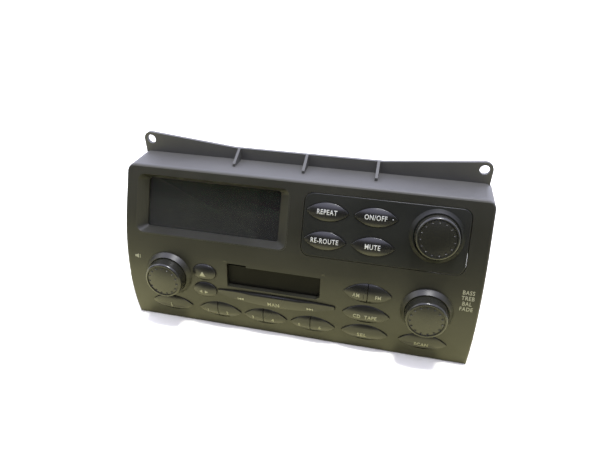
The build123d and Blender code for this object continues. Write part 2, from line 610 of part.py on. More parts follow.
# ---------------------------------------------------------------- knobs, shafts, encoders
BUSH_RADIUS = 4.0
ENCODER_SIZE, ENCODER_HEIGHT = 13.0, 6.5
KNOB_START, KNOB_DOME = 0.6, 0.9
SHAFT_TOP = 8.6
SHAFT_GAP = 0.06


def board_depth(name):
    """Distance from the face back to the board that an encoder stands on."""
    if name == "navigation":
        return UPPER_BOARD_DEPTH
    _, down = KNOBS[name]
    y, _ = face_point(down)
    return (CONTROL_BOARD_Y - y) / cos(face_tilt(down)) - 0.6


encoders = []
for name, (x, down) in KNOBS.items():
    depth = board_depth(name)
    axis_plane = face_plane(x, down)
    axis = Axis(axis_plane.origin, axis_plane.z_dir)
    with BuildPart() as knob:
        with BuildSketch(section_plane(x, down)):
            with BuildLine():
                shoulder = (KNOB_FACE_RADIUS, KNOB_HEIGHT - KNOB_DOME)
                Polyline((0, KNOB_START), (KNOB_RADIUS, KNOB_START), (KNOB_RADIUS, 3.4))
                ThreePointArc((KNOB_RADIUS, 3.4), (KNOB_RADIUS - 0.35, 7.4), shoulder)
                ThreePointArc(shoulder, (KNOB_FACE_RADIUS / 2, KNOB_HEIGHT - KNOB_DOME / 4), (0, KNOB_HEIGHT))
                Line((0, KNOB_HEIGHT), (0, KNOB_START))
            make_face()
        revolve(axis=axis)
        extrude(disc(face_plane(x, down, -KNOB_START), SHAFT_RADIUS + SHAFT_GAP),
                amount=SHAFT_TOP + 1.2 - KNOB_START, mode=Mode.SUBTRACT)
        with BuildSketch(face_plane(x, down, -KNOB_HEIGHT - 1)):
            with PolarLocations(PIT_RING, PIT_COUNT, start_angle=90):
                Circle(PIT_RADIUS)
        extrude(amount=-2.2, mode=Mode.SUBTRACT)
    save(knob.part, f"{name}_knob")

    with BuildPart() as shaft:
        with BuildSketch(face_plane(x, down, depth - 1.5)):
            Circle(SHAFT_RADIUS)
        extrude(amount=depth - 1.5 + SHAFT_TOP)
    save(shaft.part, f"{name}_shaft")

    with BuildPart() as encoder:
        with BuildSketch(face_plane(x, down, depth)):
            RectangleRounded(ENCODER_SIZE, ENCODER_SIZE, 1.0)
        extrude(amount=ENCODER_HEIGHT)
        extrude(disc(face_plane(x, down, depth), BUSH_RADIUS + 0.8), amount=ENCODER_HEIGHT + 3.0)
        extrude(disc(face_plane(x, down, depth - 1.0), SHAFT_RADIUS + SHAFT_GAP), amount=ENCODER_HEIGHT + 3.0,
                mode=Mode.SUBTRACT)
    encoders.append(encoder.part)
save(Compound(children=encoders), "rotary_encoders")

# ---------------------------------------------------------------- cassette door
DOOR_WIDTH = SLOT_WIDTH + 0.2
DOOR_TOP, DOOR_BOTTOM = PIN_Z, slot_bottom_z + 0.5
with BuildPart() as slot_door:
    with BuildSketch(Plane.YZ.offset(CASSETTE_X)):
        with BuildLine():
            Polyline((DOOR_Y, DOOR_BOTTOM), (DOOR_Y + DOOR_THICKNESS, DOOR_BOTTOM),
                     (DOOR_Y + DOOR_THICKNESS, DOOR_TOP), (DOOR_Y, DOOR_TOP), (DOOR_Y, DOOR_BOTTOM))
        make_face()
        with Locations((PIN_Y, PIN_Z)):
            Circle(1.7)
    extrude(amount=DOOR_WIDTH / 2, both=True)
    extrude(slot_outline(Plane.XZ.offset(-DOOR_Y - 0.5), DOOR_GAP, 0.55), amount=DOOR_STEP + 0.5)
    with BuildSketch(Plane.YZ.offset(CASSETTE_X)):
        with Locations((PIN_Y, PIN_Z)):
            Circle(PIN_RADIUS)
    extrude(amount=SLOT_WIDTH / 2 + 0.6 + LUG_THICKNESS, both=True)
save(slot_door.part, "slot_door")

# ---------------------------------------------------------------- rear cover of the upper compartment
with BuildPart() as fascia_rear_cover:
    with BuildSketch(Plane.XZ.offset(-COVER_Y - 1.5)):
        with Locations((0, (65.5 + SHELF_Z - WALL - 0.5) / 2)):
            RectangleRounded(2 * (HALF_WIDTH - WALL) - 1, SHELF_Z - WALL - 0.5 - 65.5, 3.0)
        with Locations(*COVER_POSTS):
            Circle(SCREW_RADIUS + SCREW_GAP, mode=Mode.SUBTRACT)
        # Vent slots behind the display.
        with GridLocations(9, 1, 12, 1):
            with Locations((0, 92)):
                SlotOverall(26, 3, rotation=90, mode=Mode.SUBTRACT)
    extrude(amount=1.5)
save(fascia_rear_cover.part, "fascia_rear_cover")

# ---------------------------------------------------------------- chassis
inner_half = CHASSIS_HALF_WIDTH - SHEET
CHASSIS_MIDDLE = (CHASSIS_FRONT + CHASSIS_BACK) / 2
CONNECTOR_X, CONNECTOR_WIDTH, CONNECTOR_Z, CONNECTOR_HEIGHT = -45.0, 44.0, 21.0, 26.0
ANTENNA_X, ANTENNA_Z, ANTENNA_RADIUS = -80.0, 20.0, 6.0
FUSE_X = -8.0
HEATSINK_LEFT, HEATSINK_RIGHT = 20.0, 84.0
HEATSINK_DEPTH = 16.0
TOP_SCREWS = [(x, y) for x in (-84.0, 84.0) for y in (8.0, 100.0)]

with BuildPart() as chassis_tray:
    with BuildSketch(Plane.XY):
        with Locations((0, CHASSIS_MIDDLE)):
            Rectangle(2 * CHASSIS_HALF_WIDTH, CHASSIS_BACK - CHASSIS_FRONT)
    extrude(amount=CHASSIS_HEIGHT)
    with BuildSketch(Plane.XY.offset(SHEET)):
        with Locations((0, CHASSIS_MIDDLE - SHEET)):
            Rectangle(2 * inner_half, CHASSIS_BACK - CHASSIS_FRONT)
    extrude(amount=CHASSIS_HEIGHT, mode=Mode.SUBTRACT)
    # Turned-out tabs at the front, screwed to the fascia.
    for side in (-1, 1):
        with BuildSketch(Plane.XZ.offset(-TAB_Y - SHEET)):
            with Locations((side * (CHASSIS_HALF_WIDTH + 14), 30)):
                Rectangle(28, 42)
            with Locations(*CHASSIS_POSTS):
                Circle(SCREW_RADIUS + SCREW_GAP, mode=Mode.SUBTRACT)
        extrude(amount=SHEET)
    # Turned-in lips under the cover.
    for side in (-1, 1):
        with BuildSketch(Plane.XY.offset(CHASSIS_HEIGHT - SHEET)):
            with Locations((side * (inner_half - 5), 54)):
                Rectangle(10, 120)
            with Locations(*TOP_SCREWS):
                Circle(SCREW_RADIUS + SCREW_GAP, mode=Mode.SUBTRACT)
        extrude(amount=SHEET)
    # Cut-outs in the back wall, and vents in both sides.
    with BuildSketch(Plane.XZ.offset(-CHASSIS_BACK - 1)):
        with Locations((CONNECTOR_X, CONNECTOR_Z)):
            Rectangle(CONNECTOR_WIDTH, CONNECTOR_HEIGHT)
        with Locations((ANTENNA_X, ANTENNA_Z)):
            Circle(ANTENNA_RADIUS)
        with Locations((FUSE_X, CONNECTOR_Z)):
            Rectangle(8, 20)
    extrude(amount=SHEET + 2, mode=Mode.SUBTRACT)
    with BuildSketch(Plane.YZ.offset(-CHASSIS_HALF_WIDTH - 1)):
        with Locations((60, 34)):
            with GridLocations(8, 1, 8, 1):
                SlotOverall(24, 3, rotation=90)
    extrude(amount=2 * CHASSIS_HALF_WIDTH + 2, mode=Mode.SUBTRACT)
save(chassis_tray.part, "chassis_tray")

LIP = 8.0
BEAD_WIDTH, BEAD_HEIGHT = 7.0, 0.8
with BuildPart() as chassis_cover:
    with BuildSketch(Plane.XY.offset(CHASSIS_HEIGHT)):
        with Locations((0, CHASSIS_MIDDLE)):
            Rectangle(2 * CHASSIS_HALF_WIDTH + 2.2, CHASSIS_BACK - CHASSIS_FRONT)
        with Locations(*TOP_SCREWS):
            Circle(SCREW_RADIUS + SCREW_GAP, mode=Mode.SUBTRACT)
        with Locations((48, 54)):
            with GridLocations(1, 7, 1, 7):
                SlotOverall(40, 3, mode=Mode.SUBTRACT)
    extrude(amount=SHEET)
    # Turned-down edges outside the tray.
    for side in (-1, 1):
        with BuildSketch(Plane.XY.offset(CHASSIS_HEIGHT - LIP)):
            with Locations((side * (CHASSIS_HALF_WIDTH + 0.6), 48)):
                Rectangle(1.0, 138)
        extrude(amount=LIP + 0.5)
    # Pressed-up stiffening beads.
    with BuildSketch(Plane.XY.offset(CHASSIS_HEIGHT + SHEET)):
        with Locations((-38, 54)):
            with GridLocations(1, 28, 1, 4):
                SlotOverall(74, BEAD_WIDTH)
    extrude(amount=BEAD_HEIGHT)
    fillet(chassis_cover.faces().sort_by(Axis.Z)[-4:].edges(), BEAD_HEIGHT / 2)
save(chassis_cover.part, "chassis_cover")

FIN_COUNT, FIN = 9, 2.4
with BuildPart() as heatsink:
    with BuildSketch(Plane.XY.offset(5)):
        with Locations(((HEATSINK_LEFT + HEATSINK_RIGHT) / 2, CHASSIS_BACK + 2)):
            Rectangle(HEATSINK_RIGHT - HEATSINK_LEFT, 4)
        with Locations(((HEATSINK_LEFT + HEATSINK_RIGHT) / 2, CHASSIS_BACK + HEATSINK_DEPTH / 2 + 1)):
            with GridLocations((HEATSINK_RIGHT - HEATSINK_LEFT - FIN) / (FIN_COUNT - 1), 1, FIN_COUNT, 1):
                Rectangle(FIN, HEATSINK_DEPTH - 2)
    extrude(amount=50)
save(heatsink.part, "heatsink")

with BuildPart() as main_board:
    with BuildSketch(Plane.XY.offset(MAIN_BOARD_Z)):
        with Locations((0, 46)):
            Rectangle(172, 132)
    extrude(amount=BOARD)
    # Four stand-off feet on the chassis floor.
    with BuildSketch(Plane.XY.offset(SHEET)):
        with Locations((0, 46)):
            with GridLocations(150, 110, 2, 2):
                Circle(3.0)
    extrude(amount=MAIN_BOARD_Z - SHEET + 0.2)
save(main_board.part, "main_board")
board_top = MAIN_BOARD_Z + BOARD

with BuildPart() as power_connector:
    with BuildSketch(Plane.XZ.offset(-CHASSIS_BACK - 8)):
        with Locations((CONNECTOR_X, CONNECTOR_Z)):
            Rectangle(CONNECTOR_WIDTH - 0.6, CONNECTOR_HEIGHT - 0.6)
    extrude(amount=26)
    # Two rows of sockets open to the back, with their pins.
    with BuildSketch(Plane.XZ.offset(-CHASSIS_BACK - 8)):
        with Locations((CONNECTOR_X, CONNECTOR_Z)):
            with GridLocations(1, 12.6, 1, 2):
                Rectangle(CONNECTOR_WIDTH - 4, 10.2)
    extrude(amount=16, mode=Mode.SUBTRACT)
    with BuildSketch(Plane.XZ.offset(-CHASSIS_BACK + 9)):
        with Locations((CONNECTOR_X, CONNECTOR_Z)):
            with GridLocations(9, 12.6, 4, 2):
                with GridLocations(1, 4.6, 1, 2):
                    Rectangle(2.2, 0.9)
    extrude(amount=-12)
save(power_connector.part, "power_connector")

SOCKET_BORE = 3.6
with BuildPart() as antenna_socket:
    with BuildSketch(Plane.XZ.offset(-CHASSIS_BACK - 12)):
        with Locations((ANTENNA_X, ANTENNA_Z)):
            Circle(ANTENNA_RADIUS - 0.5)
            Circle(SOCKET_BORE, mode=Mode.SUBTRACT)
    extrude(amount=24)
    with BuildSketch(Plane.XZ.offset(-CHASSIS_BACK + 12)):
        with Locations((ANTENNA_X, ANTENNA_Z)):
            Circle(ANTENNA_RADIUS - 0.5)
    extrude(amount=2)
save(antenna_socket.part, "antenna_socket")

with BuildPart() as tuner_module:
    with BuildSketch(Plane.XY.offset(board_top)):
        with Locations((ANTENNA_X + 3, CHASSIS_BACK - 14 - 22)):
            Rectangle(20, 44)
    extrude(amount=20)
save(tuner_module.part, "tuner_module")

with BuildPart() as fuse:
    with BuildSketch(Plane.XZ.offset(-CHASSIS_BACK - 4)):
        with Locations((FUSE_X, CONNECTOR_Z)):
            Rectangle(5, 18)
    extrude(amount=8)
    with BuildSketch(Plane.XZ.offset(-CHASSIS_BACK + 4)):
        with Locations((FUSE_X, CONNECTOR_Z)):
            with GridLocations(1, 11, 1, 2):
                Rectangle(1.0, 5)
    extrude(amount=10)
save(fuse.part, "fuse")

with BuildPart() as amplifier_chip:
    with BuildSketch(Plane.XZ.offset(-CHASSIS_BACK + SHEET)):
        with Locations((52, board_top + 12)):
            Rectangle(30, 16)
    extrude(amount=4)
    # Row of legs down to the board.
    with BuildSketch(Plane.XY.offset(board_top)):
        with Locations((52, CHASSIS_BACK - SHEET - 2)):
            with GridLocations(2.4, 1, 11, 1):
                Rectangle(0.8, 0.8)
    extrude(amount=4.5)
save(amplifier_chip.part, "amplifier_chip")

# ---------------------------------------------------------------- cassette deck
deck_top = DECK_Z + DECK_PLATE
HUB_Y = (DECK_Y - HUB_PITCH / 2, DECK_Y + HUB_PITCH / 2)
CAPSTAN_Y = (DECK_Y - CAPSTAN_PITCH / 2, DECK_Y + CAPSTAN_PITCH / 2)
CAPSTAN_RADIUS, HUB_SHAFT_RADIUS, RUNNING_GAP = 1.0, 1.5, 0.07
DECK_FRONT, DECK_BACK = -20.0, 96.0
DECK_LEFT, DECK_RIGHT = -58.0, 66.0

with BuildPart() as deck_frame:
    with BuildSketch(Plane.XY.offset(DECK_Z)):
        with Locations(((DECK_LEFT + DECK_RIGHT) / 2, (DECK_FRONT + DECK_BACK) / 2)):
            Rectangle(DECK_RIGHT - DECK_LEFT, DECK_BACK - DECK_FRONT)
        with Locations(*[(HUB_X, y) for y in HUB_Y]):
            Circle(HUB_SHAFT_RADIUS + RUNNING_GAP, mode=Mode.SUBTRACT)
        with Locations(*[(CAPSTAN_X, y) for y in CAPSTAN_Y]):
            Circle(CAPSTAN_RADIUS + RUNNING_GAP, mode=Mode.SUBTRACT)
        with Locations((MOTOR_X, DECK_Y)):
            Circle(2.5, mode=Mode.SUBTRACT)
    extrude(amount=DECK_PLATE)
    # Outer side wall of the cradle's guide.
    with BuildSketch(Plane.XY.offset(deck_top - 0.2)):
        with Locations((-50.5, DECK_Y)):
            Rectangle(1.2, 96)
    extrude(amount=30)
    # Legs on the main board.
    with BuildSketch(Plane.XY.offset(board_top)):
        with Locations((4, 38)):
            with GridLocations(112, 106, 2, 2):
                Circle(2.5)
    extrude(amount=DECK_Z - board_top + 0.2)
save(deck_frame.part, "deck_frame")

cradle_left, cradle_right = SLOT_LEFT - 1.2, SLOT_RIGHT + 1.2
CRADLE_HEIGHT = 14.0
CRADLE_SHEET = 0.8
with BuildPart() as cassette_cradle:
    with BuildSketch(Plane.XY.offset(CRADLE_Z + CRADLE_HEIGHT)):
        with Locations((CASSETTE_X, DECK_Y)):
            Rectangle(cradle_right - cradle_left, 100)
        with Locations((HUB_X, DECK_Y)):
            RectangleRounded(30, 60, 4, mode=Mode.SUBTRACT)
    extrude(amount=CRADLE_SHEET)
    # Left rail along the whole cassette, right rail at its ends only, clear of the head.
    rails = [(cradle_left, 1, DECK_Y, 100), (cradle_right, -1, DECK_FRONT + 4, 8),
             (cradle_right, -1, DECK_Y + 46, 8)]
    for edge_x, inwards, y, length in rails:
        with BuildSketch(Plane.XY.offset(CRADLE_Z)):
            with Locations((edge_x + inwards * CRADLE_SHEET / 2, y)):
                Rectangle(CRADLE_SHEET, length)
        extrude(amount=CRADLE_HEIGHT + 0.2)
        with BuildSketch(Plane.XY.offset(CRADLE_Z)):
            with Locations((edge_x + inwards * 2, y)):
                Rectangle(4, length)
        extrude(amount=CRADLE_SHEET)
save(cassette_cradle.part, "cassette_cradle")

SPINDLE, CAPSTAN_TOP = 8.5, 40.0           # both end just below a cassette that is still up
for side, y in zip(("front", "rear"), HUB_Y):
    with BuildPart() as reel_hub:
        with BuildSketch(Plane.XY.offset(deck_top + 1)):
            with Locations((HUB_X, y)):
                Circle(9.0)
        extrude(amount=2.0)
        with BuildSketch(Plane.XY.offset(DECK_Z - 2)):
            with Locations((HUB_X, y)):
                Circle(HUB_SHAFT_RADIUS)
        extrude(amount=6)
        # Spindle with six splines that turn the cassette's reel.
        with BuildSketch(Plane.XY.offset(deck_top + 3)):
            with Locations((HUB_X, y)):
                Circle(2.6)
                with PolarLocations(2.9, 6):
                    Rectangle(1.8, 1.0)
        extrude(amount=SPINDLE)
    save(reel_hub.part, f"reel_hub_{side}")

    with BuildPart() as capstan:
        with BuildSketch(Plane.XY.offset(FLYWHEEL_Z)):
            with Locations((CAPSTAN_X, DECK_Y + (y - DECK_Y) / HUB_PITCH * CAPSTAN_PITCH)):
                Circle(FLYWHEEL_RADIUS)
        extrude(amount=FLYWHEEL_HEIGHT)
        with BuildSketch(Plane.XY.offset(FLYWHEEL_Z)):
            with Locations((CAPSTAN_X, DECK_Y + (y - DECK_Y) / HUB_PITCH * CAPSTAN_PITCH)):
                Circle(CAPSTAN_RADIUS)
        extrude(amount=CAPSTAN_TOP - FLYWHEEL_Z)
    save(capstan.part, f"capstan_{side}")

BELT_GAP, BELT_THICKNESS, BELT_WIDTH = 0.15, 1.0, 1.6


def belt_loop(grow):
    """Outline of a loop that passes round both flywheels and the motor pulley."""
    with BuildSketch(Plane.XY.offset(FLYWHEEL_Z + 1.7)) as loop:
        with Locations(*[(CAPSTAN_X, y) for y in CAPSTAN_Y]):
            Circle(FLYWHEEL_RADIUS + grow)
        with Locations((MOTOR_X, DECK_Y)):
            Circle(PULLEY_RADIUS + grow)
        make_hull()
    return loop.sketch


with BuildPart() as drive_belt:
    extrude(belt_loop(BELT_GAP + BELT_THICKNESS), amount=BELT_WIDTH)
    extrude(belt_loop(BELT_GAP), amount=BELT_WIDTH, mode=Mode.SUBTRACT)
save(drive_belt.part, "drive_belt")

with BuildPart() as deck_motor:
    with BuildSketch(Plane.XY.offset(deck_top)):
        with Locations((MOTOR_X, DECK_Y)):
            Circle(MOTOR_RADIUS)
    extrude(amount=20)
    fillet(deck_motor.edges().group_by(Axis.Z)[-1], 1.5)
    with BuildSketch(Plane.XY.offset(deck_top - 2)):
        with Locations((MOTOR_X, DECK_Y)):
            Circle(2.4)
            Circle(1.0 + RUNNING_GAP, mode=Mode.SUBTRACT)
    extrude(amount=2)
    with BuildSketch(Plane.XY.offset(deck_top - 2)):
        with Locations((MOTOR_X, DECK_Y)):
            Circle(1.0 + RUNNING_GAP)
    extrude(amount=8, mode=Mode.SUBTRACT)
save(deck_motor.part, "deck_motor")

with BuildPart() as motor_pulley:
    with BuildSketch(Plane.XY.offset(FLYWHEEL_Z)):
        with Locations((MOTOR_X, DECK_Y)):
            Circle(PULLEY_RADIUS)
    extrude(amount=FLYWHEEL_HEIGHT)
    with BuildSketch(Plane.XY.offset(FLYWHEEL_Z)):
        with Locations((MOTOR_X, DECK_Y)):
            Circle(1.0)
    extrude(amount=deck_top + 4 - FLYWHEEL_Z)
save(motor_pulley.part, "motor_pulley")

ROLLER_RADIUS, ROLLER_Z, ROLLER_HEIGHT = 6.5, 33.0, 11.0
ROLLER_PIN = 1.2
ROLLER_X = CAPSTAN_X + CAPSTAN_RADIUS + 0.3 + ROLLER_RADIUS + HEAD_TRAVEL
HEAD_PLATE_Z, HEAD_PLATE = deck_top + 0.4, 1.2
with BuildPart() as head_plate:
    with BuildSketch(Plane.XY.offset(HEAD_PLATE_Z)):
        with Locations((ROLLER_X + 2, DECK_Y)):
            Rectangle(12, CAPSTAN_PITCH + 16)
    extrude(amount=HEAD_PLATE)
    with BuildSketch(Plane.XY.offset(HEAD_PLATE_Z)):
        with Locations(*[(ROLLER_X, y) for y in CAPSTAN_Y]):
            Circle(ROLLER_PIN)
    extrude(amount=ROLLER_Z + ROLLER_HEIGHT + 0.7 - HEAD_PLATE_Z)
save(head_plate.part, "head_plate")

for side, y in zip(("front", "rear"), CAPSTAN_Y):
    with BuildPart() as pinch_roller:
        with BuildSketch(Plane.XY.offset(ROLLER_Z)):
            with Locations((ROLLER_X, y)):
                Circle(ROLLER_RADIUS)
                Circle(ROLLER_PIN + RUNNING_GAP, mode=Mode.SUBTRACT)
        extrude(amount=ROLLER_HEIGHT)
    save(pinch_roller.part, f"pinch_roller_{side}")

with BuildPart() as tape_head:
    with BuildSketch(Plane.XY.offset(HEAD_PLATE_Z + HEAD_PLATE)):
        with Locations((ROLLER_X, DECK_Y)):
            Rectangle(11, 12)
    extrude(amount=14)
    fillet(tape_head.edges().filter_by(Axis.Z).group_by(Axis.X)[0], 3.0)
save(tape_head.part, "tape_head")


# ---------------------------------------------------------------- screws
def screw(plane):
    """Cross-head screw whose head sits on the plane and whose shank goes in behind it."""
    with BuildPart() as one:
        extrude(disc(plane, SCREW_HEAD_RADIUS), amount=SCREW_HEAD)
        fillet(one.edges().group_by(SortBy.LENGTH)[-1].sort_by(Axis(plane.origin, plane.z_dir))[-1], 0.8)
        extrude(disc(plane, SCREW_RADIUS), amount=-(SCREW_LENGTH - 1))
        top = plane.offset(SCREW_HEAD - 1.0)
        for turn in (0, 90):
            with BuildSketch(top):
                Rectangle(3.4, 0.8, rotation=turn)
            extrude(amount=2, mode=Mode.SUBTRACT)
    return one.part


screw_planes = []
for posts, y in ((COVER_POSTS, COVER_Y + 1.5), (CHASSIS_POSTS, TAB_Y + SHEET)):
    screw_planes += [Plane(origin=(x, y, z), x_dir=(-1, 0, 0), z_dir=(0, 1, 0)) for x, z in posts]
screw_planes += [Plane(origin=(x, y, CHASSIS_HEIGHT + SHEET)) for x, y in TOP_SCREWS]
save(Compound(children=[screw(plane) for plane in screw_planes]), "case_screws")
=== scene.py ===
"""Looks of a car radio with a cassette deck and a route display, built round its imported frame."""

import json
import logging
import math
from dataclasses import dataclass
from enum import Enum

import bpy
from mathutils import Matrix, Vector


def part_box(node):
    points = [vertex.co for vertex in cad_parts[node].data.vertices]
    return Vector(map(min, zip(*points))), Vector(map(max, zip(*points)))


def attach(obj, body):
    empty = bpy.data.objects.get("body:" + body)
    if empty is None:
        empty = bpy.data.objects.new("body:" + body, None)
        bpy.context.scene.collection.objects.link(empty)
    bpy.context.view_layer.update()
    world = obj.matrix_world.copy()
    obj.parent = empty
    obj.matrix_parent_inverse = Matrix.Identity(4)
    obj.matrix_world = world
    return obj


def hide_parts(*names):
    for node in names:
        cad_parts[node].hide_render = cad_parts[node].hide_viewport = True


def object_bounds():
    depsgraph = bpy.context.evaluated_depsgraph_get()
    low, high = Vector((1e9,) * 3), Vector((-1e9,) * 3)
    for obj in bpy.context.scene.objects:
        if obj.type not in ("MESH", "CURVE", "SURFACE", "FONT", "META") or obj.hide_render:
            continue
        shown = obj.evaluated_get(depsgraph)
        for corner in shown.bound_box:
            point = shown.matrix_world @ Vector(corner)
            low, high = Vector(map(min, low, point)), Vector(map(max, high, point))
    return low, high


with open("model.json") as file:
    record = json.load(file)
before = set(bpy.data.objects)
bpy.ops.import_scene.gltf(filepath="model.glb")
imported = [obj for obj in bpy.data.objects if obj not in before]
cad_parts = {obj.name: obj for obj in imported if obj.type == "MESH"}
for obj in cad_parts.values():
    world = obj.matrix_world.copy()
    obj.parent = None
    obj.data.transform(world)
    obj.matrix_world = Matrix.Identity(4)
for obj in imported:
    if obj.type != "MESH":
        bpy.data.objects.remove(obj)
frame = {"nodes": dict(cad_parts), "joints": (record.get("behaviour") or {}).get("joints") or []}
CAD_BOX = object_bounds()
log = logging.getLogger("radio")

MM = 0.001
RIGHT = Vector((1.0, 0.0, 0.0))
SMOOTH_ANGLE = math.radians(32)
SHARP_ANGLE = math.radians(40)
LOOK_FROM = 50.0 * MM


# ---------------------------------------------------------------- places read from the frame
@dataclass(frozen=True)
class Spot:
    """A place on the radio with its own right, up and out directions."""

    at: Vector
    out: Vector

    @property
    def up(self) -> Vector:
        """Direction up along the surface."""
        return self.out.cross(RIGHT).normalized()

    def matrix(self) -> Matrix:
        """Turns a piece made flat on X and Y, facing +Z, to lie at this spot."""
        turn = Matrix((RIGHT, self.up, self.out)).transposed()
        return Matrix.Translation(self.at) @ turn.to_4x4()

    def moved(self, right: float = 0.0, up: float = 0.0, out: float = 0.0) -> "Spot":
        """Another spot, that many metres away along this one's directions."""
        return Spot(self.at + RIGHT * right + self.up * up + self.out * out, self.out)


def joint(name: str) -> dict:
    """Record of one joint.

    Args:
        name: the joint's name.

    Returns:
        The joint's entry, with its axis and position.
    """
    return next(entry for entry in frame["joints"] if entry["name"] == name)


def node_spot(node: str, out: Vector) -> Spot:
    """Middle of a node's outermost surface.

    Args:
        node: name of the CAD node.
        out: direction that its surface faces.

    Returns:
        The spot at the middle of the node's outline, level with its highest point.
    """
    flat = Spot(Vector((0, 0, 0)), out)
    points = [vertex.co for vertex in frame["nodes"][node].data.vertices]
    spans = []
    for direction in (RIGHT, flat.up, out):
        along = [point.dot(direction) for point in points]
        spans.append((min(along), max(along)))
    middle = [(low + high) / 2 for low, high in spans[:2]]
    return flat.moved(middle[0], middle[1], spans[2][1])


def surface_spot(node: str, x: float, z: float) -> Spot:
    """Spot on the front of a node, found by looking at it straight from the front.

    Args:
        node: name of the CAD node.
        x: place across the radio.
        z: height of the spot.

    Returns:
        The spot, facing the way the surface faces.
    """
    start = Vector((x, CAD_BOX[0][1] - LOOK_FROM, z))
    hit, at, normal, _ = frame["nodes"][node].ray_cast(start, Vector((0.0, 1.0, 0.0)))
    if not hit:
        raise ValueError(f"nothing of {node} at {x}, {z}")
    normal.x = 0.0
    return Spot(at, normal.normalized())


def surface_above(node: str, x: float, y: float) -> Vector:
    """Point on top of a node, found by looking straight down on it.

    Args:
        node: name of the CAD node.
        x: place across the radio.
        y: place from its front to its back.

    Returns:
        The point on the node's upper side.
    """
    start = Vector((x, y, CAD_BOX[1][2] + LOOK_FROM))
    hit, at, _, _ = frame["nodes"][node].ray_cast(start, Vector((0.0, 0.0, -1.0)))
    if not hit:
        raise ValueError(f"nothing of {node} under {x}, {y}")
    return at


# ---------------------------------------------------------------- modelling
def fresh() -> None:
    """Leave edit mode and deselect everything."""
    if bpy.context.object and bpy.context.object.mode != "OBJECT":
        bpy.ops.object.mode_set(mode="OBJECT")
    bpy.ops.object.select_all(action="DESELECT")


def pick(piece: bpy.types.Object) -> None:
    """Make one piece the only selected and the active one."""
    fresh()
    piece.select_set(True)
    bpy.context.view_layer.objects.active = piece


def settle(piece: bpy.types.Object, place: Matrix | None = None) -> None:
    """Move a piece to its place and put that place in its mesh."""
    pick(piece)
    if place is not None:
        piece.matrix_world = place @ piece.matrix_world
    bpy.ops.object.transform_apply(location=True, rotation=True, scale=True)


def apply_modifier(piece: bpy.types.Object, kind: str, **settings: object) -> None:
    """Add one modifier to a piece and apply it.

    Args:
        piece: the piece to change.
        kind: Blender's name of the modifier type.
        settings: values for the modifier.
    """
    pick(piece)
    modifier = piece.modifiers.new(kind.lower(), kind)
    for key, value in settings.items():
        setattr(modifier, key, value)
    bpy.ops.object.modifier_apply(modifier=modifier.name)


def smooth(piece: bpy.types.Object) -> None:
    """Shade a piece smooth, apart from its sharp edges."""
    pick(piece)
    bpy.ops.object.shade_smooth_by_angle(angle=SMOOTH_ANGLE)


def joined(pieces: list[bpy.types.Object], name: str) -> bpy.types.Object:
    """Join several pieces into one.

    Args:
        pieces: the pieces, at least one.
        name: name of the result.

    Returns:
        The joined piece.
    """
    pick(pieces[0])
    for piece in pieces[1:]:
        piece.select_set(True)
    if len(pieces) > 1:
        bpy.ops.object.join()
    bpy.context.object.name = name
    return bpy.context.object


def turned(name: str, profile: list[tuple[float, float]], segments: int = 96) -> bpy.types.Object:
    """Solid of revolution about Z.

    Args:
        name: name of the piece.
        profile: radius and height of each ring, from one flat end to the other.
        segments: number of sides.

    Returns:
        The closed solid.
    """
    fresh()
    radius, height = profile[0]
    bpy.ops.mesh.primitive_circle_add(vertices=segments, radius=radius, location=(0, 0, height),
                                      fill_type="NGON")
    piece = bpy.context.object
    bpy.ops.object.transform_apply(location=True)
    bpy.ops.object.mode_set(mode="EDIT")
    bpy.ops.mesh.select_all(action="SELECT")
    for next_radius, next_height in profile[1:]:
        bpy.ops.mesh.extrude_region_move(TRANSFORM_OT_translate={"value": (0, 0, next_height - height)})
        growth = next_radius / radius
        bpy.ops.transform.resize(value=(growth, growth, 1.0), center_override=(0, 0, next_height))
        radius, height = next_radius, next_height
    bpy.ops.mesh.select_all(action="SELECT")
    bpy.ops.mesh.normals_make_consistent(inside=False)
    bpy.ops.object.mode_set(mode="OBJECT")
    piece.name = name
    return piece


def block(name: str, low: tuple[float, float, float], high: tuple[float, float, float],
          rounding: float) -> bpy.types.Object:
    """Box between two corners, with its edges rounded.

    Args:
        name: name of the piece.
        low: lowest corner.
        high: highest corner.
        rounding: width of the rounding.

    Returns:
        The box.
    """
    fresh()
    middle = [(a + b) / 2 for a, b in zip(low, high)]
    bpy.ops.mesh.primitive_cube_add(size=1.0, location=middle)
    piece = bpy.context.object
    piece.scale = [b - a for a, b in zip(low, high)]
    settle(piece)
    apply_modifier(piece, "BEVEL", width=rounding, segments=2, limit_method="ANGLE",
                   angle_limit=SHARP_ANGLE)
    piece.name = name
    return piece


def carve(piece: bpy.types.Object, cutter: bpy.types.Object) -> None:
    """Cut one piece out of another and drop the cutter."""
    apply_modifier(piece, "BOOLEAN", operation="DIFFERENCE", solver="EXACT", object=cutter)
    bpy.data.objects.remove(cutter, do_unlink=True)


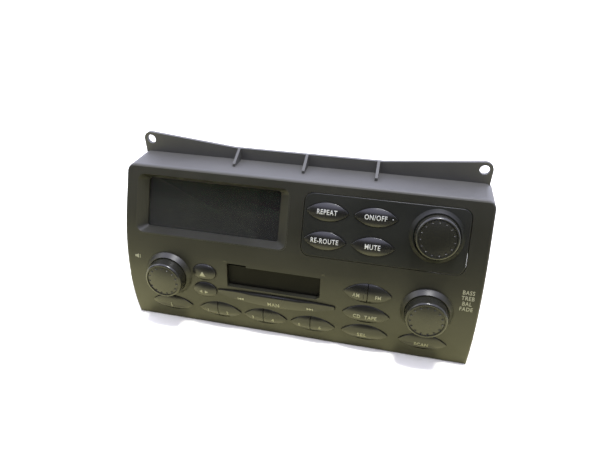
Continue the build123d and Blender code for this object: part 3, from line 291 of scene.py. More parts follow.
# ---------------------------------------------------------------- shader nodes
class Shader:
    """Adds and links the nodes of one material or node group."""

    def __init__(self, tree: bpy.types.NodeTree) -> None:
        """Remember the tree that nodes go in."""
        self.tree = tree

    def add(self, kind: str, **values: object) -> bpy.types.Node:
        """Add a node.

        Args:
            kind: node type, without the "ShaderNode" in front.
            values: node settings by name, or inputs by name with spaces as underscores. A socket
                given as a value is linked.

        Returns:
            The new node.
        """
        node = self.tree.nodes.new("ShaderNode" + kind)
        for key, value in values.items():
            if hasattr(node, key):
                setattr(node, key, value)
                continue
            wanted = key.replace("_", " ").lower()
            for socket in node.inputs:
                if socket.name.lower() == wanted:
                    self.feed(socket, value)
                    break
            else:
                raise KeyError(f"{kind} has no {key}")
        return node

    def feed(self, socket: bpy.types.NodeSocket, value: object) -> None:
        """Set or link one input."""
        if isinstance(value, bpy.types.NodeSocket):
            self.tree.links.new(value, socket)
        else:
            socket.default_value = value

    def math(self, operation: str, first: object, second: object = 0.0) -> object:
        """Result of a Math node on two values or sockets."""
        node = self.add("Math", operation=operation)
        self.feed(node.inputs[0], first)
        self.feed(node.inputs[1], second)
        return node.outputs[0]

    def blend(self, factor: object, first: object, second: object) -> object:
        """Colour between two colours or sockets."""
        node = self.add("Mix", data_type="RGBA")
        self.feed(node.inputs["Factor"], factor)
        self.feed(node.inputs[6], first)
        self.feed(node.inputs[7], second)
        return node.outputs[2]

    def ramp(self, value: object, low: float, high: float, out_low: float = 0.0,
             out_high: float = 1.0) -> object:
        """Value mapped from one range to another, with its ends held."""
        node = self.add("MapRange", clamp=True)
        for index, entry in enumerate((value, low, high, out_low, out_high)):
            self.feed(node.inputs[index], entry)
        return node.outputs[0]

    def group(self, tree: bpy.types.NodeTree, **values: object) -> bpy.types.Node:
        """Place a shared node group, with its inputs by name."""
        node = self.tree.nodes.new("ShaderNodeGroup")
        node.node_tree = tree
        for key, value in values.items():
            self.feed(node.inputs[key.replace("_", " ")], value)
        return node


def colour(rgb: tuple[float, float, float], lift: float = 1.0) -> tuple[float, float, float, float]:
    """Colour with full alpha, made lighter or darker by a factor."""
    return (rgb[0] * lift, rgb[1] * lift, rgb[2] * lift, 1.0)


class Effects:
    """Node groups that several finishes share: grain, edge wear, dust and scuffs."""

    def __init__(self) -> None:
        """Build each group once."""
        self.grain = self._grain()
        self.wear = self._wear()
        self.dust = self._dust()
        self.scuffs = self._scuffs()

    @staticmethod
    def _start(name: str, inputs: dict[str, float], outputs: list[str]) -> tuple:
        """Empty group with its sockets.

        Args:
            name: name of the group.
            inputs: default value of each input.
            outputs: names of the outputs.

        Returns:
            The group, its Shader, its input node and its output node.
        """
        tree = bpy.data.node_groups.new(name, "ShaderNodeTree")
        for key, value in inputs.items():
            socket = tree.interface.new_socket(key, in_out="INPUT", socket_type="NodeSocketFloat")
            socket.default_value = value
        for key in outputs:
            tree.interface.new_socket(key, in_out="OUTPUT", socket_type="NodeSocketFloat")
        return tree, Shader(tree), tree.nodes.new("NodeGroupInput"), tree.nodes.new("NodeGroupOutput")

    def _grain(self) -> bpy.types.NodeTree:
        """Fine spark-eroded grain with a slow waviness, as a height and a tone."""
        tree, shader, given, result = self._start("fine_grain", {"Scale": 2000.0}, ["Height", "Tone"])
        place = shader.add("TexCoord").outputs["Object"]
        fine = shader.add("TexNoise", Vector=place, Scale=given.outputs["Scale"], Detail=3.0, Roughness=0.6)
        cells = shader.add("TexVoronoi", Vector=place, Scale=given.outputs["Scale"])
        slow = shader.add("TexNoise", Vector=place, Scale=28.0, Detail=3.0)
        bumps = shader.math("ADD", fine.outputs[0], shader.math("MULTIPLY", cells.outputs["Distance"], 0.6))
        shader.feed(result.inputs["Height"], bumps)
        shader.feed(result.inputs["Tone"], slow.outputs[0])
        return tree

    def _wear(self) -> bpy.types.NodeTree:
        """Mask along outer edges, broken up by noise."""
        tree, shader, given, result = self._start("edge_wear", {"Radius": 0.0005, "Amount": 0.5}, ["Mask"])
        rounded = shader.add("Bevel", samples=4, Radius=given.outputs["Radius"])
        plain = shader.add("NewGeometry")
        bend = shader.add("VectorMath", operation="DOT_PRODUCT")
        shader.feed(bend.inputs[0], rounded.outputs["Normal"])
        shader.feed(bend.inputs[1], plain.outputs["Normal"])
        edge = shader.ramp(bend.outputs["Value"], 0.995, 0.86)
        place = shader.add("TexCoord").outputs["Object"]
        broken = shader.add("TexNoise", Vector=place, Scale=240.0, Detail=4.0, Roughness=0.7)
        patchy = shader.ramp(broken.outputs[0], 0.38, 0.62)
        mask = shader.math("MULTIPLY", edge, shader.math("MULTIPLY", patchy, given.outputs["Amount"]))
        shader.feed(result.inputs["Mask"], mask)
        return tree

    def _dust(self) -> bpy.types.NodeTree:
        """Mask of dust that settles on what faces up."""
        tree, shader, given, result = self._start("settled_dust", {"Amount": 0.3}, ["Mask"])
        facing = shader.add("SeparateXYZ", Vector=shader.add("NewGeometry").outputs["Normal"])
        upward = shader.ramp(facing.outputs["Z"], 0.1, 0.95)
        place = shader.add("TexCoord").outputs["Object"]
        cloud = shader.add("TexNoise", Vector=place, Scale=60.0, Detail=8.0, Roughness=0.7)
        specks = shader.add("TexNoise", Vector=place, Scale=900.0, Detail=2.0)
        spread = shader.ramp(cloud.outputs[0], 0.35, 0.7)
        dots = shader.ramp(specks.outputs[0], 0.55, 0.75, 0.4, 1.0)
        mask = shader.math("MULTIPLY", shader.math("MULTIPLY", upward, spread), dots)
        shader.feed(result.inputs["Mask"], shader.math("MULTIPLY", mask, given.outputs["Amount"]))
        return tree

    def _scuffs(self) -> bpy.types.NodeTree:
        """Fine lines, drawn out along X."""
        inputs = {"Scale": 300.0, "Stretch": 0.04}
        tree, shader, given, result = self._start("fine_scuffs", inputs, ["Mask"])
        place = shader.add("TexCoord").outputs["Object"]
        stretch = shader.add("CombineXYZ", X=given.outputs["Stretch"], Y=1.0, Z=1.0)
        drawn = shader.add("VectorMath", operation="MULTIPLY")
        shader.feed(drawn.inputs[0], place)
        shader.feed(drawn.inputs[1], stretch.outputs[0])
        lines = shader.add("TexNoise", Vector=drawn.outputs[0], Scale=given.outputs["Scale"], Detail=5.0,
                           Roughness=0.65)
        shader.feed(result.inputs["Mask"], lines.outputs[0])
        return tree


# ---------------------------------------------------------------- finishes
@dataclass(frozen=True)
class MouldedPlastic:
    """Satin moulding with a fine grain, rubbed edges and a little dust.

    Where a height is given for it, the moulding above that height (its shelf and flange) is painted lighter.
    This is painted light, standing in for the light that falls on them from above. It is also matt there.
    """

    name: str
    rgb: tuple[float, float, float]
    roughness: float = 0.42
    grain: float = 2600.0
    relief: float = 0.12
    wear: float = 0.35
    dust: float = 0.12
    coat: float = 0.0
    specular: float = 0.5
    bare_above: float | None = None
    bare_rgb: tuple[float, float, float] = (0.058, 0.058, 0.053)
    bare_roughness: float = 0.16

    def build(self, effects: Effects) -> bpy.types.Material:
        """Make the material from the shared effects."""
        material, shader, surface = begin(self.name)
        grain = shader.group(effects.grain, Scale=self.grain)
        wear = shader.group(effects.wear, Radius=0.0006, Amount=self.wear)
        dust = shader.group(effects.dust, Amount=self.dust)
        tone = shader.blend(grain.outputs["Tone"], colour(self.rgb, 0.85), colour(self.rgb, 1.18))
        painted_light_mask = 0.0
        # Painted light: the shelf and flange above this height get a lighter colour, standing in for the
        # light that falls on them.
        if self.bare_above is not None:
            height = shader.add("SeparateXYZ", Vector=shader.add("TexCoord").outputs["Object"]).outputs["Z"]
            painted_light_mask = shader.ramp(height, self.bare_above - 0.1 * MM, self.bare_above + 0.1 * MM)
            lit_low, lit_high = colour(self.bare_rgb, 0.8), colour(self.bare_rgb, 1.2)
            tone = shader.blend(painted_light_mask, tone, shader.blend(grain.outputs["Tone"], lit_low, lit_high))
        rubbed = shader.blend(wear.outputs["Mask"], tone, colour(self.rgb, 3.2))
        dusty = shader.blend(dust.outputs["Mask"], rubbed, colour((0.24, 0.23, 0.21)))
        shader.feed(surface.inputs["Base Color"], dusty)
        matt = shader.ramp(grain.outputs["Tone"], 0.3, 0.7, self.roughness - 0.05, self.roughness + 0.06)
        polished = shader.math("SUBTRACT", matt, shader.math("MULTIPLY", wear.outputs["Mask"], 0.12))
        matt_part = shader.math("MULTIPLY", painted_light_mask, self.bare_roughness)
        shader.feed(surface.inputs["Roughness"],
                    shader.math("ADD", shader.math("ADD", polished, dust.outputs["Mask"]), matt_part))
        surface.inputs["Specular IOR Level"].default_value = self.specular
        surface.inputs["Coat Weight"].default_value = self.coat
        surface.inputs["Coat Roughness"].default_value = 0.18
        relief(shader, surface, grain.outputs["Height"], self.relief, 0.00003)
        return material


@dataclass(frozen=True)
class SheetMetal:
    """Plated or brushed sheet with drawn lines and blotches."""

    name: str
    rgb: tuple[float, float, float]
    roughness: float = 0.32
    brushed: float = 0.12
    wear: float = 0.3

    def build(self, effects: Effects) -> bpy.types.Material:
        """Make the material from the shared effects."""
        material, shader, surface = begin(self.name)
        lines = shader.group(effects.scuffs, Scale=700.0, Stretch=0.05)
        blotches = shader.group(effects.grain, Scale=160.0)
        wear = shader.group(effects.wear, Radius=0.0005, Amount=self.wear)
        dust = shader.group(effects.dust, Amount=0.15)
        drawn = shader.blend(lines.outputs["Mask"], colour(self.rgb, 0.8), colour(self.rgb, 1.12))
        plated = shader.blend(shader.math("MULTIPLY", blotches.outputs["Tone"], 0.45), drawn,
                              (self.rgb[0] * 0.95, self.rgb[1] * 0.9, self.rgb[2] * 0.72, 1.0))
        rubbed = shader.blend(wear.outputs["Mask"], plated, colour((0.85, 0.85, 0.84)))
        dusty = shader.blend(dust.outputs["Mask"], rubbed, colour((0.3, 0.28, 0.25)))
        shader.feed(surface.inputs["Base Color"], dusty)
        surface.inputs["Metallic"].default_value = 1.0
        rough = shader.ramp(lines.outputs["Mask"], 0.3, 0.7, self.roughness - 0.06, self.roughness + 0.12)
        shader.feed(surface.inputs["Roughness"], shader.math("ADD", rough, dust.outputs["Mask"]))
        relief(shader, surface, lines.outputs["Mask"], self.brushed, 0.00004)
        return material


@dataclass(frozen=True)
class Laminate:
    """Green circuit board with traces under its lacquer."""

    name: str
    rgb: tuple[float, float, float]

    def build(self, effects: Effects) -> bpy.types.Material:
        """Make the material from the shared effects."""
        material, shader, surface = begin(self.name)
        place = shader.add("TexCoord").outputs["Object"]
        weave = shader.group(effects.grain, Scale=1400.0)
        bricks = shader.add("TexBrick", Vector=place, Scale=190.0, Mortar_Size=0.22, Bias=0.1)
        traces = shader.ramp(bricks.outputs["Fac"], 0.2, 0.8)
        tone = shader.blend(weave.outputs["Tone"], colour(self.rgb, 0.8), colour(self.rgb, 1.2))
        shader.feed(surface.inputs["Base Color"], shader.blend(traces, tone, colour(self.rgb, 1.9)))
        surface.inputs["Roughness"].default_value = 0.32
        relief(shader, surface, traces, 0.25, 0.00005)
        return material


@dataclass(frozen=True)
class SmokedGlass:
    """Clear smoked window with faint smears."""

    name: str
    rgb: tuple[float, float, float]

    def build(self, effects: Effects) -> bpy.types.Material:
        """Make the material from the shared effects."""
        material, shader, surface = begin(self.name)
        smears = shader.group(effects.scuffs, Scale=90.0, Stretch=0.4)
        grime = shader.group(effects.dust, Amount=0.2)
        surface.inputs["Transmission Weight"].default_value = 0.97
        surface.inputs["IOR"].default_value = 1.49
        tone = shader.blend(grime.outputs["Mask"], colour(self.rgb), colour((0.2, 0.2, 0.19)))
        shader.feed(surface.inputs["Base Color"], tone)
        shader.feed(surface.inputs["Roughness"], shader.ramp(smears.outputs["Mask"], 0.4, 0.8, 0.03, 0.10))
        return material


@dataclass(frozen=True)
class Crystal:
    """Liquid crystal cell: a pale field with a darker strip at one end and faint dots."""

    name: str
    rgb: tuple[float, float, float]
    field_end: float
    strip_fade: float = 5.0 * MM
    dot_pitch: float = 0.9 * MM

    def build(self, effects: Effects) -> bpy.types.Material:
        """Make the material from the shared effects."""
        material, shader, surface = begin(self.name)
        place = shader.add("TexCoord").outputs["Object"]
        across = shader.add("SeparateXYZ", Vector=place).outputs["X"]
        strip = shader.ramp(across, self.field_end - self.strip_fade, self.field_end)
        cloud = shader.group(effects.grain, Scale=900.0)
        grid = shader.add("TexVoronoi", Vector=place, Scale=1.0 / self.dot_pitch, Randomness=0.0)
        dots = shader.ramp(grid.outputs["Distance"], 0.3, 0.5, 1.0, 0.92)
        field = shader.blend(cloud.outputs["Tone"], colour(self.rgb, 0.85), colour(self.rgb, 1.15))
        dotted = shader.blend(dots, colour(self.rgb, 0.7), field)
        shader.feed(surface.inputs["Base Color"], shader.blend(strip, dotted, colour(self.rgb, 0.25)))
        surface.inputs["Roughness"].default_value = 0.4
        return material


@dataclass(frozen=True)
class PlainFinish:
    """Rubber, ink, brass, chrome and other small finishes with a fine mottle."""

    name: str
    rgb: tuple[float, float, float]
    roughness: float
    metallic: float = 0.0
    mottle: float = 0.12
    scale: float = 1200.0
    relief: float = 0.1

    def build(self, effects: Effects) -> bpy.types.Material:
        """Make the material from the shared effects."""
        material, shader, surface = begin(self.name)
        grain = shader.group(effects.grain, Scale=self.scale)
        wear = shader.group(effects.wear, Radius=0.0003, Amount=0.3)
        low, high = colour(self.rgb, 1.0 - self.mottle), colour(self.rgb, 1.0 + self.mottle)
        tone = shader.blend(grain.outputs["Tone"], low, high)
        rubbed = shader.blend(wear.outputs["Mask"], tone, colour(self.rgb, 1.5))
        shader.feed(surface.inputs["Base Color"], rubbed)
        surface.inputs["Metallic"].default_value = self.metallic
        rough = shader.ramp(grain.outputs["Tone"], 0.3, 0.7, self.roughness * 0.85, self.roughness * 1.15)
        shader.feed(surface.inputs["Roughness"], rough)
        relief(shader, surface, grain.outputs["Height"], self.relief, 0.00002)
        return material


def begin(name: str) -> tuple[bpy.types.Material, Shader, bpy.types.Node]:
    """Material with an empty Principled shader.

    Args:
        name: name of the finish.

    Returns:
        The material, its Shader and its Principled node.
    """
    material = bpy.data.materials.new(name)
    material.use_nodes = True
    return material, Shader(material.node_tree), material.node_tree.nodes["Principled BSDF"]


def relief(shader: Shader, surface: bpy.types.Node, height: object, strength: float, depth: float) -> None:
    """Feed a height into a Principled node's normal."""
    bump = shader.add("Bump", Strength=strength, Distance=depth, Height=height)
    shader.feed(surface.inputs["Normal"], bump.outputs["Normal"])


SHELF_STEP = 5.0 * MM
DISPLAY_STRIP = 16.0 * MM


class Finish(Enum):
    """Every finish on the radio."""

    # The fascia's shelf and flange carry painted light above the height given here.
    FASCIA = MouldedPlastic("fascia_plastic", (0.010, 0.010, 0.0052), 0.42, wear=0.20, dust=0.03,
                            bare_above=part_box("navigation_panel")[1][2] + SHELF_STEP)
    PANEL = MouldedPlastic("panel_plastic", (0.006, 0.0068, 0.0046), 0.40, wear=0.2, dust=0.02)
    BEZEL = MouldedPlastic("bezel_plastic", (0.016, 0.016, 0.011), 0.40, grain=3600.0, relief=0.06,
                           wear=0.1, dust=0.03)
    KEY = MouldedPlastic("key_paint", (0.008, 0.008, 0.0065), 0.28, grain=4200.0, relief=0.04, wear=0.15,
                         dust=0.01, coat=0.1, specular=0.46)
    KNOB = MouldedPlastic("knob_plastic", (0.013, 0.013, 0.009), 0.25, grain=3000.0, relief=0.02, wear=0.25,
                          dust=0.02)
    DARK = MouldedPlastic("inner_plastic", (0.004, 0.004, 0.0028), 0.62, wear=0.03, dust=0.0, specular=0.12)
    WINDOW = SmokedGlass("smoked_window", (0.42, 0.43, 0.39))
    CRYSTAL = Crystal("liquid_crystal", (0.11, 0.115, 0.09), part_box("display_panel")[1][0] - DISPLAY_STRIP)
    # Two copies of one white ink: the second is painted shade, darker and warmer, for legends on the lower
    # face.
    INK = PlainFinish("white_legend_ink", (0.42, 0.43, 0.40), 0.5, mottle=0.06, relief=0.02)
    FAINT_INK = PlainFinish("grey_legend_ink", (0.26, 0.26, 0.19), 0.5, mottle=0.06, relief=0.02)
    BOARD = Laminate("green_board", (0.03, 0.15, 0.06))
    SILICONE = PlainFinish("key_silicone", (0.42, 0.42, 0.40), 0.6)
    ZINC = SheetMetal("zinc_sheet", (0.40, 0.41, 0.41), 0.38)
    DECK = SheetMetal("deck_sheet", (0.50, 0.48, 0.43), 0.34)
    STEEL = SheetMetal("machined_steel", (0.45, 0.45, 0.45), 0.28, brushed=0.05)
    HEATSINK = PlainFinish("black_anodised", (0.035, 0.035, 0.037), 0.42, metallic=0.6)
    CONNECTOR = MouldedPlastic("connector_plastic", (0.04, 0.04, 0.04), 0.5, dust=0.1)
    BRASS = PlainFinish("turned_brass", (0.72, 0.53, 0.24), 0.28, metallic=1.0)
    NICKEL = PlainFinish("nickel_plate", (0.76, 0.74, 0.70), 0.2, metallic=1.0)
    FUSE = PlainFinish("fuse_plastic", (0.60, 0.16, 0.02), 0.3)
    HUB = PlainFinish("white_acetal", (0.74, 0.73, 0.69), 0.42)
    RUBBER = PlainFinish("black_rubber", (0.025, 0.025, 0.025), 0.65)
    LABEL = PlainFinish("paper_label", (0.45, 0.45, 0.43), 0.55, mottle=0.05)
    LABEL_INK = PlainFinish("label_ink", (0.05, 0.05, 0.05), 0.5)


class Paint:
    """Holds each finish's material, built when it is first asked for."""

    def __init__(self) -> None:
        """Start with the shared effects and no materials."""
        self.effects = Effects()
        self.made: dict[Finish, bpy.types.Material] = {}

    def get(self, finish: Finish) -> bpy.types.Material:
        """Material of a finish."""
        if finish not in self.made:
            self.made[finish] = finish.value.build(self.effects)
        return self.made[finish]

    def dress(self, piece: bpy.types.Object, finish: Finish) -> None:
        """Give a whole piece one finish."""
        piece.data.materials.clear()
        piece.data.materials.append(self.get(finish))

    def dress_node(self, node: str, finish: Finish) -> None:
        """Give a CAD node one finish."""
        piece = frame["nodes"][node]
        for slot in piece.material_slots:
            slot.material = self.get(finish)
        if not piece.material_slots:
            piece.data.materials.append(self.get(finish))


class Workshop:
    """What every sub-assembly needs: the paint, and how a finished piece is handed over."""

    def __init__(self) -> None:
        """Open the paint store."""
        self.paint = Paint()

    def hand_over(self, piece: bpy.types.Object, name: str, body: str, slot: str, finish: Finish) -> None:
        """Finish a piece and fix it to its body.

        Args:
            piece: the modelled piece, in place.
            name: its final name.
            body: the CAD body that it rides on.
            slot: the record's material slot; not used.
            finish: what it is made of.
        """
        piece.name = name
        smooth(piece)
        self.paint.dress(piece, finish)
        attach(piece, body)
        log.info("%s: %d faces on %s", name, len(piece.data.polygons), body)


# ---------------------------------------------------------------- printed legends
class Mark(Enum):
    """Printed signs that aren't letters."""

    UP = "eject sign"
    DOT = "indicator dot"
    SIDES = "tape direction sign"
    PREVIOUS = "seek down sign"
    NEXT = "seek up sign"
    LOUDNESS = "volume sign"


@dataclass
class Printing:
    """Prints words and signs on a surface."""

    thickness: float = 0.06 * MM
    lift: float = 0.03 * MM
    clearance: float = 0.4 * MM
    strip: float = 0.5 * MM
    letter_ratio: float = 0.70
    letter_space: float = 1.12
    bold: float = 0.018

    def words(self, text: str, height: float, squeeze: float) -> bpy.types.Object:
        """Flat letters centred on the origin.

        Args:
            text: what to print.
            height: height of a capital letter.
            squeeze: width of the letters against their own shape.

        Returns:
            The letters as one flat mesh.
        """
        fresh()
        bpy.ops.object.text_add()
        letters = bpy.context.object
        letters.data.body = text
        letters.data.align_x = "CENTER"
        letters.data.size = height / self.letter_ratio
        letters.data.offset = self.bold * height
        letters.data.space_character = self.letter_space
        letters.data.resolution_u = 3
        bpy.ops.object.convert(target="MESH")
        letters = bpy.context.object
        corners = [Vector(corner) for corner in letters.bound_box]
        middle = (corners[0] + corners[6]) / 2
        letters.matrix_world = Matrix.Diagonal((squeeze, 1.0, 1.0, 1.0)) @ Matrix.Translation(-middle)
        bpy.ops.object.transform_apply(location=True, rotation=True, scale=True)
        return letters

    def arrow(self, size: float, heading: float, across: float) -> bpy.types.Object:
        """Flat triangle.

        Args:
            size: radius of the triangle.
            heading: direction of its point, in degrees from +X.
            across: how far it is moved along X.

        Returns:
            The triangle.
        """
        fresh()
        bpy.ops.mesh.primitive_circle_add(vertices=3, radius=size, fill_type="NGON")
        piece = bpy.context.object
        turn = Matrix.Rotation(math.radians(heading - 90), 4, "Z")
        settle(piece, Matrix.Translation((across, 0, 0)) @ turn)
        return piece

    def bar(self, width: float, height: float, across: float) -> bpy.types.Object:
        """Flat upright bar, moved along X."""
        fresh()
        bpy.ops.mesh.primitive_plane_add(size=1.0, location=(across, 0, 0))
        piece = bpy.context.object
        piece.scale = (width, height, 1.0)
        settle(piece)
        return piece

    def spot(self, radius: float) -> bpy.types.Object:
        """Flat round dot."""
        fresh()
        bpy.ops.mesh.primitive_circle_add(vertices=20, radius=radius, fill_type="NGON")
        return bpy.context.object

    def sign(self, mark: Mark, size: float) -> bpy.types.Object:
        """One of the signs, flat and centred on the origin."""
        if mark is Mark.UP:
            parts = [self.arrow(size, 90, 0.0)]
        elif mark is Mark.DOT:
            parts = [self.spot(size)]
        elif mark is Mark.SIDES:
            parts = [self.arrow(size * 0.75, heading, way * size * 0.85)
                     for heading, way in ((180, -1), (0, 1))]
        elif mark is Mark.LOUDNESS:
            parts = [self.arrow(size * 0.8, 180, 0.0), self.bar(size * 0.5, size * 0.7, -size * 0.5),
                     self.bar(size * 0.16, size * 1.2, size * 0.85)]
        else:
            way = 1 if mark is Mark.NEXT else -1
            heading = 0 if mark is Mark.NEXT else 180
            parts = [self.arrow(size * 0.6, heading, -way * size * 0.75),
                     self.arrow(size * 0.6, heading, way * size * 0.1),
                     self.bar(size * 0.18, size * 1.0, way * size * 0.85)]
        return joined(parts, mark.name.lower())

    def lay(self, flat: bpy.types.Object, spot: Spot, host: bpy.types.Object) -> bpy.types.Object:
        """Lay flat printing on a curved surface.

        Args:
            flat: the letters or sign, flat on the XY plane.
            spot: where their middle goes.
            host: the piece that they are printed on.

        Returns:
            The printing, following the surface, with the thickness of its ink.
        """
        pick(flat)
        # Narrow strips let the letters follow the surface.
        reach = max(abs(vertex.co.y) for vertex in flat.data.vertices)
        bpy.ops.object.mode_set(mode="EDIT")
        cuts = int(reach / self.strip)
        for step in range(-cuts, cuts + 1):
            bpy.ops.mesh.select_all(action="SELECT")
            bpy.ops.mesh.bisect(plane_co=(0, step * self.strip, 0), plane_no=(0, 1, 0))
        bpy.ops.object.mode_set(mode="OBJECT")
        settle(flat, spot.moved(out=self.clearance).matrix())
        apply_modifier(flat, "SHRINKWRAP", target=host, wrap_method="NEAREST_SURFACEPOINT",
                       wrap_mode="ABOVE_SURFACE", offset=self.lift)
        apply_modifier(flat, "SOLIDIFY", thickness=self.thickness, offset=1.0)
        return flat


# ---------------------------------------------------------------- keys
@dataclass(frozen=True)
class Legend:
    """What is printed on one key."""

    text: str | Mark
    height: float
    right: float = 0.0
    up: float = 0.0
    squeeze: float = 0.76


@dataclass
class KeySet:
    """Push buttons with their legends."""

    shop: Workshop
    printing: Printing
    big: float = 3.4 * MM
    small: float = 3.2 * MM
    number: float = 3.2 * MM
    low: float = -1.3 * MM
    band_low: float = -1.6 * MM
    narrow: float = 0.7
    bright_above: float = 70.0 * MM
    groove_at: tuple[float, float] = (5.9 * MM, -2.6 * MM)
    groove_size: tuple[float, float] = (0.35 * MM, 4.4 * MM)

    def legends(self) -> dict[str, list[Legend]]:
        """What each key says."""
        keys = {
            "repeat_button": [Legend("REPEAT", self.big)],
            "power_button": [Legend("ON/OFF", self.big), Legend(Mark.DOT, 0.4 * MM, 11.0 * MM)],
            "reroute_button": [Legend("RE-ROUTE", self.big)],
            "mute_button": [Legend("MUTE", self.big)],
            "information_button": [Legend("i", 4.6 * MM, -0.9 * MM, self.low, 0.9)],
            "source_button": [Legend("CD", self.small, -6.0 * MM, self.low),
                              Legend("TAPE", self.small, 3.4 * MM, self.low)],
            "select_button": [Legend("SEL", self.small * 1.1, -1.5 * MM, self.low, 0.85)],
            "scan_button": [Legend("SCAN", self.small, -0.7 * MM, self.low)],
            "am_button": [Legend("AM", self.small, 0.8 * MM, self.band_low, self.narrow)],
            "fm_button": [Legend("FM", self.small, -1.3 * MM, self.band_low, self.narrow)],
            "eject_button": [Legend(Mark.UP, 2.7 * MM, -0.8 * MM, -1.2 * MM)],
            "direction_button": [Legend(Mark.SIDES, 2.2 * MM, -0.9 * MM, -0.8 * MM)],
        }
        for number in range(1, 7):
            shift = -0.3 * MM if number % 2 else -2.2 * MM
            keys[f"preset_button_{number}"] = [Legend(str(number), self.number, shift, self.low)]
        return keys

    def build(self) -> None:
        """Dress every key and print its legends."""
        for node, legends in self.legends().items():
            self.shop.paint.dress_node(node, Finish.KEY)
            press = joint(node.replace("button", "press"))
            spot = node_spot(node, -Vector(press["axis"]))
            prints = [self.printed(legend, spot, node) for legend in legends]
            piece = joined(prints, f"{node}_legend")
            # Painted light: legends high on the face get the pale ink, and lower ones a darker, warmer copy
            # of it, standing in for the shade and warm bounce on the lower face.
            ink = Finish.INK if spot.at.z > self.bright_above else Finish.FAINT_INK
            self.shop.hand_over(piece, f"{node}_legend", node, "keys", ink)
        self.groove()

    def groove(self) -> None:
        """Painted shade: a flat dark strip beside the division between the two waveband keys, standing in
        for the shade in a groove there.
        """
        spot = node_spot("am_button", -Vector(joint("am_press")["axis"])).moved(*self.groove_at)
        flat = self.printing.bar(*self.groove_size, 0.0)
        line = self.printing.lay(flat, spot, frame["nodes"]["am_button"])
        self.shop.hand_over(line, "am_button_groove", "am_button", "keys", Finish.DARK)

    def printed(self, legend: Legend, spot: Spot, node: str) -> bpy.types.Object:
        """One legend laid on its key."""
        if isinstance(legend.text, Mark):
            flat = self.printing.sign(legend.text, legend.height)
        else:
            flat = self.printing.words(legend.text, legend.height, legend.squeeze)
        place = spot.moved(legend.right, legend.up)
        return self.printing.lay(flat, place, frame["nodes"][node])


@dataclass
class SeekBar:
    """Long rocker below the cassette slot."""

    shop: Workshop
    printing: Printing
    reach: float = 25.2 * MM
    drop: float = -2.0 * MM
    word_height: float = 3.4 * MM
    word_right: float = -1.1 * MM
    mark_size: float = 2.2 * MM

    def build(self) -> None:
        """Dress the rocker and print its three legends."""
        self.shop.paint.dress_node("seek_bar", Finish.KEY)
        rock = joint("seek_rock")
        up = Vector(rock["axis"])
        spot = node_spot("seek_bar", RIGHT.cross(up).normalized())
        host = frame["nodes"]["seek_bar"]
        word = self.printing.words("MAN", self.word_height, 0.78)
        prints = [self.printing.lay(word, spot.moved(self.word_right, self.drop), host)]
        for mark, side in ((Mark.PREVIOUS, -1), (Mark.NEXT, 1)):
            place = spot.moved(right=side * self.reach, up=self.drop * 0.3)
            prints.append(self.printing.lay(self.printing.sign(mark, self.mark_size), place, host))
        piece = joined(prints, "seek_bar_legend")
        # Printed in the shaded copy of the ink: painted shade for the lower face.
        self.shop.hand_over(piece, "seek_bar_legend", "seek_bar", "keys", Finish.FAINT_INK)


# ---------------------------------------------------------------- knobs
@dataclass
class Knob:
    """One rotary knob: a tapered drum with a bead round its domed face and a ring of pits."""

    shop: Workshop
    name: str
    radius: float = 14.1 * MM
    foot: float = 0.6 * MM
    skirt_height: float = 3.4 * MM
    waist: float = 13.75 * MM
    waist_height: float = 7.4 * MM
    shoulder: tuple[float, float] = (13.5 * MM, 8.6 * MM)
    shoulder_steps: int = 8
    bead_radius: float = 12.0 * MM
    bead_drop: float = 0.35 * MM
    height: float = 11.0 * MM
    dome_radius: float = 11.4 * MM
    dome_rise: float = 0.95 * MM
    dome_steps: int = 12
    pit_ring: float = 10.3 * MM
    pit_count: int = 15
    pit_radius: float = 0.95 * MM
    pit_rise: float = 0.45 * MM

    def dome_height(self, radius: float) -> float:
        """Height of the domed face, that far from its middle."""
        return self.height - self.dome_rise * (radius / self.dome_radius) ** 2

    def profile(self) -> list[tuple[float, float]]:
        """Rings of the drum, from its foot to the top of its dome."""
        rings = [(self.radius - 0.6 * MM, self.foot), (self.radius - 0.1 * MM, self.foot + 0.25 * MM),
                 (self.radius, self.foot + 0.9 * MM), (self.radius, self.skirt_height),
                 (self.waist, self.waist_height), self.shoulder]
        # Broad shoulder that ends in a bead round the face.
        edge_radius, edge_height = self.shoulder
        reach, rise = edge_radius - self.bead_radius, self.height - self.bead_drop - edge_height
        for step in range(1, self.shoulder_steps + 1):
            turn = math.radians(90 * step / self.shoulder_steps)
            rings.append((edge_radius - reach * (1 - math.cos(turn)), edge_height + rise * math.sin(turn)))
        rings.append((self.bead_radius - 0.3 * MM, self.height - 0.42 * MM))
        rings.append((self.dome_radius + 0.1 * MM, self.height - self.dome_rise - 0.25 * MM))
        for step in range(self.dome_steps):
            radius = self.dome_radius * (1.0 - step / self.dome_steps)
            rings.append((radius, self.dome_height(radius)))
        rings.append((0.3 * MM, self.height))
        return rings

    def build(self) -> None:
        """Model the knob at its shaft and let it stand for the CAD one."""
        turn = joint(f"{self.name}_turn")
        spot = Spot(Vector(turn["pos_m"]), Vector(turn["axis"]))
        drum = turned(f"{self.name}_knob_cap", self.profile())
        pits = []
        for index in range(self.pit_count):
            angle = math.radians(90 + 360 * index / self.pit_count)
            fresh()
            top = self.dome_height(self.pit_ring) + self.pit_rise
            bpy.ops.mesh.primitive_uv_sphere_add(
                segments=16, ring_count=10, radius=self.pit_radius,
                location=(self.pit_ring * math.cos(angle), self.pit_ring * math.sin(angle), top))
            settle(bpy.context.object)
            pits.append(bpy.context.object)
        carve(drum, joined(pits, "pit_cutter"))
        settle(drum, spot.matrix())
        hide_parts(f"{self.name}_knob")
        self.shop.hand_over(drum, f"{self.name}_knob_cap", f"{self.name}_knob", "knobs", Finish.KNOB)


